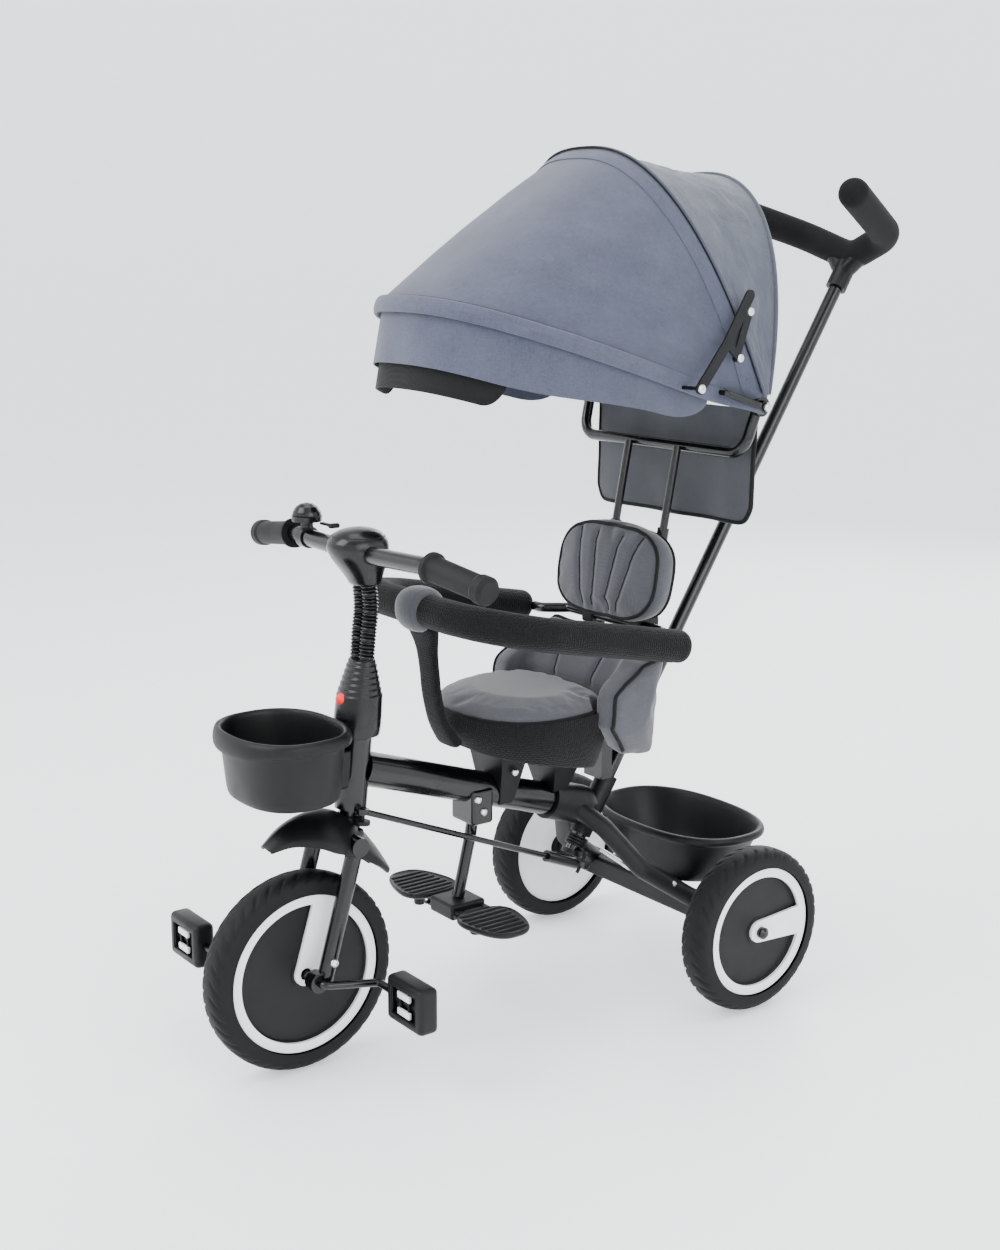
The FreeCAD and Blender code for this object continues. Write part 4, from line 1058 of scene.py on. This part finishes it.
class TricycleGuard(Operator):
    """Mesh sleeve of the guard, grey pommel wrap and crotch strap"""
    bl_idname = "tricycle.guard"
    bl_label = "Guard"

    def execute(self, context):
        corners = [Vector(p) * MM for p in ((-66, 165, 502.5), (234, 157, 561),
                                            (234, -157, 561), (-66, -165, 502.5))]
        path = rounded_path(corners, 0.096)

        def girth(distance, total):
            spot = path[min(int(distance / total * len(path)), len(path) - 1)]
            swell = 0.0005 * ripple(spot, 0.03, 4)
            return 0.0212 + swell, 0.0212 + swell

        sleeve = sweep("guard_sleeve", path, girth, 40, 0.004, 0.015, power=2.1)
        finish_piece(sleeve, "spacer_mesh", "guard", ["guard_foam"], 60)
        inner = [p + Vector((0, 0, -0.0212)) for p in path[6:-6]]
        seam = tube("guard_sleeve_seam", inner[::6], 0.0012)
        finish_piece(seam, "binding_tape", "guard")

        across = [Vector((234 - 0.4 * abs(y) ** 1.2 / 10, y, 561)) * MM
                  for y in range(-27, 28, 2)]

        def wrap(distance, total):
            bulge = math.sin(math.pi * distance / total)
            return 0.0236 + 0.0050 * bulge, 0.0236 + 0.0045 * bulge

        pommel = sweep("pommel_wrap", across, wrap, 48, 0.002, 0.010, power=2.3)
        for edge in (-20, 20):
            line = []
            for step in range(48):
                angle = 2 * math.pi * step / 48
                line.append(Vector((234 + 29 * math.cos(angle), edge, 561 + 30 * math.sin(angle))) * MM)
            line.append(line[0])
            channel(pommel, snap(dense(line), pommel, 0), 0.0012, 0.0022)
        finish_piece(pommel, "brushed_knit", "guard", ["pommel_pad"], 70)

        knots = [Vector(p) * MM for p in ((232, 0, 544), (225, 0, 517), (220, 0, 480), (216, 0, 446),
                                          (206, 0, 410), (186, 0, 378))]

        def belt(distance, total):
            share = distance / total
            flare = 0.012 * math.exp(-(share / 0.16) ** 2) + 0.006 * math.exp(-((1 - share) / 0.18) ** 2)
            return 0.0062 + 0.25 * flare, 0.0185 + flare

        line = smooth_line(knots, 60)
        strap = sweep("crotch_strap_cover", line, belt, 32, 0.004, 0.006, up=(1, 0, 0), power=3.0)
        finish_piece(strap, "spacer_mesh", "guard", ["crotch_strap"], 60)
        return {"FINISHED"}


def smooth_line(knots, count):
    """Even points on a smooth curve through knots."""
    points = [knots[0] * 2 - knots[1], *knots, knots[-1] * 2 - knots[-2]]
    line = []
    spans = len(knots) - 1
    for number in range(count + 1):
        spot = number / count * spans
        index = min(int(spot), spans - 1)
        t = spot - index
        a, b, c, d = points[index:index + 4]
        line.append((b * 2 + (c - a) * t + (a * 2 - b * 5 + c * 4 - d) * t * t
                     + (b * 3 - a - c * 3 + d) * t ** 3) * 0.5)
    return line


class TricyclePushGrip(Operator):
    """Foam sleeve of the push handle"""
    bl_idname = "tricycle.push_grip"
    bl_label = "Push grip"

    def execute(self, context):
        corners = [Vector(p) * MM for p in ((-346, -152, 1078), (-512, -78, 1020), (-526, 0, 990),
                                            (-512, 78, 1020), (-346, 152, 1078))]
        grip = sweep("push_grip_foam", rounded_path(corners, 0.050), lambda d, t: (0.0205, 0.0205),
                     40, 0.005, 0.019, up=(0, 0, 1))
        finish_piece(grip, "foam_sleeve", "push_handle", ["push_grip"], 60)
        return {"FINISHED"}


# ---- wheels, pedals and mouldings -----------------------------------------------------
def tyre(name, hub, radius, bead, grooves, depth):
    """Foam tyre with curved tread grooves that run over its shoulders."""
    half = 22.5 * MM

    def place(u, v):
        around = 2 * math.pi * u
        tilt = (v - 0.5) * math.pi
        s = math.copysign(abs(math.sin(tilt)) ** 0.72, tilt)
        rise = math.cos(tilt) ** 0.55
        if 0.0 < v < 1.0:
            out = bead + (radius - bead) * rise
        else:
            out = bead - 0.5
        across = abs(math.sin(tilt))
        phase = around * grooves / (2 * math.pi) + 1.1 * across ** 1.3 + (0.5 if tilt < 0 else 0)
        offset = abs((phase + 0.5) % 1 - 0.5)
        groove = max(1 - (offset / 0.17) ** 2, 0)
        mask = ease((across - 0.10) / 0.2) * (1 - ease((across - 0.80) / 0.16))
        out -= depth / MM * groove * mask
        x = out * math.cos(around)
        z = out * math.sin(around)
        return hub + Vector((x * MM, half * s * (1 - 0.010 * groove * mask), z * MM))

    piece = cloth_grid(name, grooves * 9, 36, place, (0.75, 0.08))
    outward(piece, 1e-6)
    return piece


class TricycleTyres(Operator):
    """Three foam tyres with tread"""
    bl_idname = "tricycle.tyres"
    bl_label = "Tyres"

    def execute(self, context):
        depth = context.scene.tricycle_sizes.groove
        front = tyre("front_tyre_tread", FRONT_HUB, 127, 103, 40, depth)
        finish_piece(front, "eva_tyre", "front_wheel", ["front_tyre"], 50)
        for side, label in ((1, "left"), (-1, "right")):
            hub = Vector((REAR_HUB.x, side * REAR_HUB.y, REAR_HUB.z))
            rear = tyre(f"rear_tyre_tread_{label}", hub, 112, 89, 36, depth)
            finish_piece(rear, "eva_tyre", f"rear_wheel_{label}",
                         [f"rear_tyre_{label}"], 50)
        return {"FINISHED"}


def block(name, centre, size, bevel, segments=3):
    """Cube at a size and place, with bevelled edges."""
    deselect()
    bpy.ops.mesh.primitive_cube_add(size=1, location=centre)
    piece = named(name)
    piece.scale = size
    settle(piece)
    modify(piece, "BEVEL", width=bevel, segments=segments, limit_method="ANGLE")
    return piece


class TricyclePedals(Operator):
    """Pedals with recessed faces and reflectors"""
    bl_idname = "tricycle.pedals"
    bl_label = "Pedals"

    def execute(self, context):
        for label in ("left", "right"):
            low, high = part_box(f"pedal_{label}")
            centre = (low + high) / 2
            size = high - low
            body = block(f"pedal_{label}_body", centre, size, 0.007, 4)
            bpy.ops.object.mode_set(mode="EDIT")
            for sign in (1, -1):
                bpy.ops.mesh.select_all(action="DESELECT")
                shape = bmesh.from_edit_mesh(body.data)
                for face in shape.faces:
                    face.select = face.normal.x * sign > 0.99 and face.calc_area() > 1e-3
                bmesh.update_edit_mesh(body.data)
                bpy.ops.mesh.inset(thickness=0.0045)
                bpy.ops.mesh.extrude_region_move(
                    TRANSFORM_OT_translate={"value": (-0.008 * sign, 0, 0)})
            bpy.ops.object.mode_set(mode="OBJECT")
            modify(body, "BEVEL", width=0.0008, segments=2, limit_method="ANGLE")
            parts = [body]
            for y in (-0.026, -0.009, 0.009, 0.026):
                parts.append(block("rib", centre + Vector((0, y, 0)),
                                   (size.x - 0.004, 0.0022, size.z - 0.008), 0.0006, 1))
            for z in (-0.02, 0.02):
                parts.append(block("rib", centre + Vector((0, 0, z)),
                                   (size.x - 0.005, size.y - 0.008, 0.0022), 0.0006, 1))
            parts.append(turned("rib", [(0.0, -0.034), (0.0085, -0.034), (0.0085, 0.034), (0.0, 0.034)],
                                centre, (0, 1, 0), 32))
            body = joined(parts, f"pedal_{label}_body")
            finish_piece(body, "grained_plastic", f"pedal_{label}",
                         [f"pedal_{label}"])
            bars = []
            for sign in (1, -1):
                for z in (-0.0105, 0.0105):
                    spot = centre + Vector((sign * (size.x / 2 - 0.0025), 0, z))
                    bars.append(block("bar", spot, (0.004, 0.026, 0.0085), 0.0012, 2))
            bar = joined(bars, f"pedal_{label}_reflectors")
            finish_piece(bar, "reflector", f"pedal_{label}")
        return {"FINISHED"}


class TricycleFootplates(Operator):
    """Flip-up foot plates with ribs and lugs"""
    bl_idname = "tricycle.footplates"
    bl_label = "Foot plates"

    def execute(self, context):
        levels = ((0.02, 152), (0.55, 151.6), (0.80, 152), (0.93, 154.5), (1.0, 158.5), (0.985, 161.5),
                  (0.955, 162.8), (0.925, 162.2), (0.90, 160.6), (0.6, 160.4), (0.02, 160.4))
        middle = 0.178

        def taper(y):
            return 1 - 0.30 * ease((abs(y) - 0.05) / 0.085)

        for side, label in ((1, "left"), (-1, "right")):
            def leaf(point, v):
                y = point.y + side * 0.087
                return Vector((middle + (point.x - middle) * taper(y), y, point.z))

            rings = [(178, 46 * s, 49 * s, z, 2.7) for s, z in levels]
            parts = [oval_shell("plate", rings, 72, leaf)]
            for number in range(7):
                y = side * (0.050 + 0.0115 * number)
                half = 0.036 * taper(y)
                parts.append(sweep("rib", [Vector((middle - half, y, 0.1608)),
                                           Vector((middle + half, y, 0.1608))],
                                   lambda d, t: (0.0018, 0.0032), 16, 0.01, 0.003))
            parts.append(block("web", Vector((0.176, side * 0.040, 0.155)), (0.028, 0.020, 0.008), 0.002))
            parts.append(turned("barrel", [(0.0, -0.0145), (0.0052, -0.0145),
                                           (0.0052, 0.0145), (0.0, 0.0145)],
                                Vector((0.176, side * 0.033, 0.155)), (1, 0, 0), 24))
            for x in (0.160, 0.194):
                parts.append(turned("lug", [(0.0, -0.012), (0.0065, -0.012), (0.0078, -0.010),
                                            (0.0078, 0.004), (0.0, 0.004)],
                                    Vector((x, side * 0.064, 0.153)), (0, 0, 1), 24))
            plate = joined(parts, f"footplate_{label}_moulding")
            finish_piece(plate, "grained_plastic", f"footplate_{label}",
                         [f"footplate_{label}"], 35)
        return {"FINISHED"}


class TricycleFender(Operator):
    """Saddle-shaped front mudguard"""
    bl_idname = "tricycle.fender"
    bl_label = "Front mudguard"

    def execute(self, context):
        ridge = [Vector(p) * MM for p in ((464, 0, 296), (442, 0, 312), (418, 0, 322), (395, 0, 326),
                                          (373, 0, 325), (350, 0, 313), (328, 0, 292), (308, 0, 267),
                                          (290, 0, 240))]
        halves = [12, 27, 43, 55, 60, 58, 51, 41, 23]
        sags = [5, 14, 25, 34, 38, 36, 28, 18, 8]
        stations = 48
        middle = smooth_line(ridge, stations)
        wide = smooth_line([Vector((h, s, 0)) for h, s in zip(halves, sags)], stations)

        def place(u, v):
            index = round(v * stations)
            top = middle[index]
            ahead = middle[min(index + 1, stations)] - middle[max(index - 1, 0)]
            down = Vector((ahead.z, 0, -ahead.x)).normalized()
            if down.z > 0:
                down = -down
            across = 2 * u - 1
            drop = wide[index].y * abs(across) ** 1.9 + 3.5 * max(abs(across) - 0.86, 0) / 0.14
            crease = 1.4 * math.exp(-(across / 0.22) ** 2)
            return top + Vector((0, across * wide[index].x * MM, 0)) + down * ((drop - crease) * MM)

        guard = cloth_grid("front_mudguard", 40, stations, place, (0.12, 0.2))
        outward_from(guard, Vector((0.4, 0, 0.1)))
        thicken(guard, 0.003)
        modify(guard, "BEVEL", width=0.0009, segments=2, limit_method="ANGLE")
        finish_piece(guard, "grained_plastic", "steering", ["front_fender"], 50)
        return {"FINISHED"}


class TricycleBaskets(Operator):
    """Front and rear baskets with rolled rims"""
    bl_idname = "tricycle.baskets"
    bl_label = "Baskets"

    def execute(self, context):
        front = [(434, 0.5, 0.5, 354, 2.4), (434, 43, 58, 354, 2.4), (434, 53, 69, 354.5, 2.5),
                 (434, 58, 74, 357, 2.5), (434, 60, 76, 364, 2.5), (434, 63, 79, 390, 2.4),
                 (434, 66, 82, 424, 2.4), (434, 67, 83, 428, 2.4), (434, 73, 89, 426, 2.4),
                 (434, 74.8, 90.8, 429, 2.4), (434, 74.6, 90.6, 437, 2.4), (434, 72, 88, 441.5, 2.4),
                 (434, 67, 83, 443, 2.4), (434, 64.5, 80.5, 440, 2.4), (434, 63.5, 79.5, 432, 2.4),
                 (434, 60, 76, 390, 2.4), (434, 57, 73, 365, 2.5), (434, 53, 69, 358, 2.5),
                 (434, 43, 58, 356.5, 2.4), (434, 0.5, 0.5, 356.5, 2.4)]

        def lip(point, v):
            ahead = max(point.x - 0.485, 0)
            if 0.40 < v < 0.56 and point.z < 0.4385:
                point = Vector((point.x, point.y, point.z - min(ahead * 0.42, 0.010)))
            return point

        basket = oval_shell("front_basket_shell", front, 112, lip)
        finish_piece(basket, "grained_plastic", "frame", ["front_basket"], 45)
        rear = [(-213, 0.5, 0.5, 129, 2.4), (-213, 52, 74, 129, 2.4), (-213, 62, 87, 130.5, 2.4),
                (-214, 67, 95, 136, 2.4), (-215, 74, 112, 165, 2.4), (-217, 81, 127, 196, 2.4),
                (-217, 82, 129, 198, 2.4), (-217, 87.5, 134.5, 196.5, 2.4),
                (-217, 90, 137, 199, 2.4), (-217, 89.5, 136.5, 205, 2.4), (-217, 86, 133, 208, 2.4),
                (-217, 81, 128, 208, 2.4), (-217, 79, 126, 204, 2.4), (-215.5, 72, 110, 168, 2.4),
                (-214, 64, 92, 138, 2.4), (-213, 58, 84, 132.5, 2.4), (-213, 40, 60, 131.5, 2.4),
                (-213, 0.5, 0.5, 131.5, 2.4)]
        basket = oval_shell("rear_basket_shell", rear, 128)
        finish_piece(basket, "grained_plastic", "frame", ["rear_basket"], 45)
        return {"FINISHED"}


class TricycleHead(Operator):
    """Stepped stem cover, ribbed bellows and the cover of the handlebar clamp"""
    bl_idname = "tricycle.head"
    bl_label = "Stem and head covers"

    def execute(self, context):
        def axis_x(z):
            return 340.6 - (z - 316) * math.tan(math.radians(6.2))

        rings = [(axis_x(414), 15, 15, 414, 2), (axis_x(414), 27.5, 28.5, 414, 2.1),
                 (axis_x(417), 29, 30, 416.5, 2.1), (axis_x(440), 28.5, 30, 440, 2.2),
                 (axis_x(462), 27, 29, 462, 2.2)]
        half_x, half_y = 27.0, 29.0
        z = 466.0
        for _ in range(6):
            rings += [(axis_x(z), half_x, half_y, z, 2.3),
                      (axis_x(z), half_x - 0.6, half_y - 0.6, z + 1, 2.3),
                      (axis_x(z), half_x - 2.1, half_y - 1.6, z + 1.4, 2.3),
                      (axis_x(z), half_x - 2.1, half_y - 1.6, z + 5.6, 2.3)]
            half_x -= 2.0
            half_y -= 1.5
            z += 7.2
        rings += [(axis_x(z), half_x - 1, half_y - 1, z, 2.3), (axis_x(z), 8, 14, z + 1, 2.2)]
        cover = oval_shell("stem_cover_shell", rings, 80)
        finish_piece(cover, "gloss_plastic", "steering", ["stem_cover"], 40)
        tubes = []
        for side in (1, -1):
            knots = [Vector((axis_x(500), side * 9.8, 500)) * MM, Vector((317, side * 10.4, 540)) * MM,
                     Vector((313, side * 10.4, 575)) * MM, Vector((316, side * 9.6, 612)) * MM]

            def corrugation(distance, total):
                wave = abs((distance / 0.0044) % 1 - 0.5) * 2
                radius = 0.0076 + 0.0024 * min(wave * 1.5, 1)
                return radius, radius

            tubes.append(sweep("bellows", smooth_line(knots, 200), corrugation, 28, 0.00095))
        bellows = joined(tubes, "stem_bellows_hoses")
        finish_piece(bellows, "gloss_plastic", "steering", ["stem_bellows"], 40)
        drop = [(314, 1, 1, 601, 2), (314, 17, 20, 601, 2.1), (314, 18.5, 22, 603, 2.1),
                (316, 22, 25, 613, 2.2), (319, 29, 30, 625, 2.2), (322, 35.5, 34, 637, 2.2),
                (324, 38.5, 35.5, 648, 2.2), (324, 37, 34, 657, 2.2), (323, 30, 28, 665.5, 2.2),
                (322, 18, 17, 671, 2.1), (322, 0.5, 0.5, 672.5, 2)]
        head = oval_shell("handlebar_head_cover", drop, 64)
        finish_piece(head, "gloss_plastic", "steering", ["handlebar_cover"], 45)
        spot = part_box("release_button")[1] - Vector((0.0015, 0.006, 0.006))
        dome = [(0.0078, -0.006), (0.0078, -0.0004), (0.0068, 0.0006), (0.0066, 0.0022), (0.0054, 0.0042),
                (0.0030, 0.0052), (0.0, 0.0055)]
        button = turned("release_button_dome", dome, spot, (1, 0, 0.1), 40)
        finish_piece(button, "red_plastic", "release_button", ["release_button"], 50)
        turns = [t * math.pi / 24 for t in range(48)]
        edge = [Vector((322 + 33 * math.cos(t), 31.5 * math.sin(t), 662)) * MM for t in turns]
        line = tube("handlebar_head_joint", snap(edge, head, -0.0002), 0.0008, closed=True)
        finish_piece(line, "grained_plastic", "steering")
        return {"FINISHED"}


class TricycleFasteners(Operator):
    """Bolts, nuts and the push handle's bent release pin"""
    bl_idname = "tricycle.fasteners"
    bl_label = "Fasteners"

    def execute(self, context):
        cap = [(0.0, -0.001), (0.0052, -0.001), (0.0052, 0.0012), (0.0040, 0.0026), (0.0022, 0.0034),
               (0.0, 0.0036)]
        spots = [("frame", (0.112, 0.0385, 0.336), (0, 1, 0)), ("frame", (0.022, 0.0385, 0.336), (0, 1, 0)),
                 ("frame", (0.153, 0.0255, 0.286), (0, 1, 0)), ("frame", (0.162, 0.0255, 0.304), (0, 1, 0)),
                 ("steering", (0.401, 0.0565, 0.150), (0.3, 1, 0.1)),
                 ("frame", (-0.110, 0.105, 0.152), (0.5, 0.85, 0.2))]
        for number, (body, spot, axis) in enumerate(spots):
            for side, label in ((1, "left"), (-1, "right")):
                bolt = turned(f"bolt_{number}_{label}", cap, Vector((spot[0], side * spot[1], spot[2])),
                              (axis[0], side * axis[1], axis[2]), 20)
                finish_piece(bolt, "zinc_steel", body, angle=45)
        for side, label in ((1, "left"), (-1, "right")):
            washer = turned(f"rear_washer_{label}", [(0.0, 0.0), (0.0095, 0.0), (0.0095, 0.0016),
                                                     (0.0086, 0.0022), (0.0, 0.0022)],
                            Vector((REAR_HUB.x, side * 0.2276, REAR_HUB.z)), (0, side, 0), 32)
            finish_piece(washer, "zinc_steel", "frame", angle=45)
        bends = ((-52, 20, 190), (-66, 46, 176), (-70, 54, 171), (-74, 58, 168), (-92, 62, 160))
        pin = tube("release_pin", [Vector(p) * MM for p in bends], 0.003)
        finish_piece(pin, "zinc_steel", "frame")
        return {"FINISHED"}


# ---- finishes and stage -----------------------------------------------------------------
class TricycleFinishes(Operator):
    """Materials, and the finish of each CAD part"""
    bl_idname = "tricycle.finishes"
    bl_label = "Finishes"

    def execute(self, context):
        make_materials(context.scene.tricycle_colours)
        chosen = {node: finish for finish, nodes in FINISHES.items() for node in nodes}
        for node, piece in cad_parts.items():
            piece.data.materials.clear()
            piece.data.materials.append(MATERIALS[chosen.get(node, SPARE_FINISH)])
        return {"FINISHED"}


def area_light(name, spot, target, size, power, tint="#ffffff"):
    bpy.ops.object.light_add(type="AREA", location=spot)
    lamp = named(name)
    lamp.data.shape = "RECTANGLE"
    lamp.data.size, lamp.data.size_y = size
    lamp.data.energy = power
    lamp.data.color = linear(tint)
    lamp.rotation_mode = "QUATERNION"
    lamp.rotation_quaternion = (Vector(target) - Vector(spot)).to_track_quat("-Z", "Y")


class TricycleStage(Operator):
    """Pale studio floor, soft lights and the camera"""
    bl_idname = "tricycle.stage"
    bl_label = "Studio"

    def execute(self, context):
        material, shader = new_material("studio_floor")
        shader.inputs["Base Color"].default_value = opaque(context.scene.tricycle_colours.floor)
        shader.inputs["Roughness"].default_value = 0.5
        # the paper backdrop is lit from behind, so it glows a little
        shader.inputs["Emission Color"].default_value = opaque(linear("#f2f5f8"))
        shader.inputs["Emission Strength"].default_value = 0.5
        outline = [(0.0, 0.0), (2.0, 0.0), (4.0, 0.0), (5.5, 0.15), (6.6, 0.8), (7.2, 2.0), (7.3, 5.0)]
        floor = turned("studio_floor", outline, Vector((0, 0, 0)), sides=96)
        modify(floor, "SUBSURF", levels=2, render_levels=2)
        if floor.data.polygons[0].normal.z < 0:
            choose(floor)
            bpy.ops.object.mode_set(mode="EDIT")
            bpy.ops.mesh.select_all(action="SELECT")
            bpy.ops.mesh.flip_normals()
            bpy.ops.object.mode_set(mode="OBJECT")
        floor.data.materials.append(material)
        choose(floor)
        bpy.ops.object.shade_smooth()

        deselect()
        target = (0.05, 0.0, 0.5)
        area_light("key_light", (2.6, -0.6, 2.9), target, (2.2, 2.2), 120)
        area_light("fill_light", (0.2, 3.4, 1.9), target, (2.6, 2.2), 62)
        area_light("top_light", (-0.2, 0.2, 3.8), target, (3.0, 3.0), 88)
        area_light("back_light", (-2.8, -1.6, 2.0), target, (1.8, 2.4), 55)
        world = bpy.data.worlds.new("studio_air")
        world.use_nodes = True
        world.node_tree.nodes["Background"].inputs["Color"].default_value = opaque(linear("#f4f6f8"))
        world.node_tree.nodes["Background"].inputs["Strength"].default_value = 1.15
        context.scene.world = world

        azimuth, elevation, roll = math.radians(143.213), math.radians(12.869), math.radians(0.219)
        back = Vector((math.sin(azimuth) * math.cos(elevation),
                       -math.cos(azimuth) * math.cos(elevation), math.sin(elevation)))
        bpy.ops.object.camera_add(location=Vector((0.114, 0, 0.5)) + back * 2.209)
        camera = named("camera")
        camera.rotation_mode = "QUATERNION"
        turn = (-back).to_track_quat("-Z", "Y")
        camera.rotation_quaternion = turn @ Euler((0, 0, roll)).to_quaternion()
        camera.data.sensor_width = 36
        camera.data.lens = 49.1
        camera.data.shift_x = 0.0026
        camera.data.shift_y = 0.0151
        context.scene.camera = camera
        return {"FINISHED"}


OPERATORS = (TricycleFinishes, TricycleCanopyCloth, TricycleCanopyTrim, TricycleCurtain,
             TricycleRivets, TricycleSeat, TricycleHeadrest, TricycleGuard, TricyclePushGrip,
             TricycleTyres, TricyclePedals, TricycleFootplates, TricycleFender, TricycleBaskets,
             TricycleHead, TricycleFasteners, TricycleStage)


class TricyclePanel(Panel):
    """Lists the tricycle's settings and the steps that build it"""
    bl_idname = "VIEW3D_PT_tricycle"
    bl_label = "Tricycle"
    bl_space_type = "VIEW_3D"
    bl_region_type = "UI"
    bl_category = "Tricycle"

    def draw(self, context):
        layout = self.layout
        for group in (context.scene.tricycle_sizes, context.scene.tricycle_colours):
            for key in group.__annotations__:
                layout.prop(group, key)
        for kind in OPERATORS:
            layout.operator(kind.bl_idname)


CLASSES = (TricycleColours, TricycleSizes, *OPERATORS, TricyclePanel)


def register():
    for kind in CLASSES:
        bpy.utils.register_class(kind)
    bpy.types.Scene.tricycle_colours = PointerProperty(type=TricycleColours)
    bpy.types.Scene.tricycle_sizes = PointerProperty(type=TricycleSizes)


def unregister():
    del bpy.types.Scene.tricycle_sizes
    del bpy.types.Scene.tricycle_colours
    for kind in reversed(CLASSES):
        bpy.utils.unregister_class(kind)


def main():
    register()
    for kind in OPERATORS:
        group, name = kind.bl_idname.split(".")
        getattr(getattr(bpy.ops, group), name)()
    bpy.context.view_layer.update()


if __name__ == "__main__":
    main()
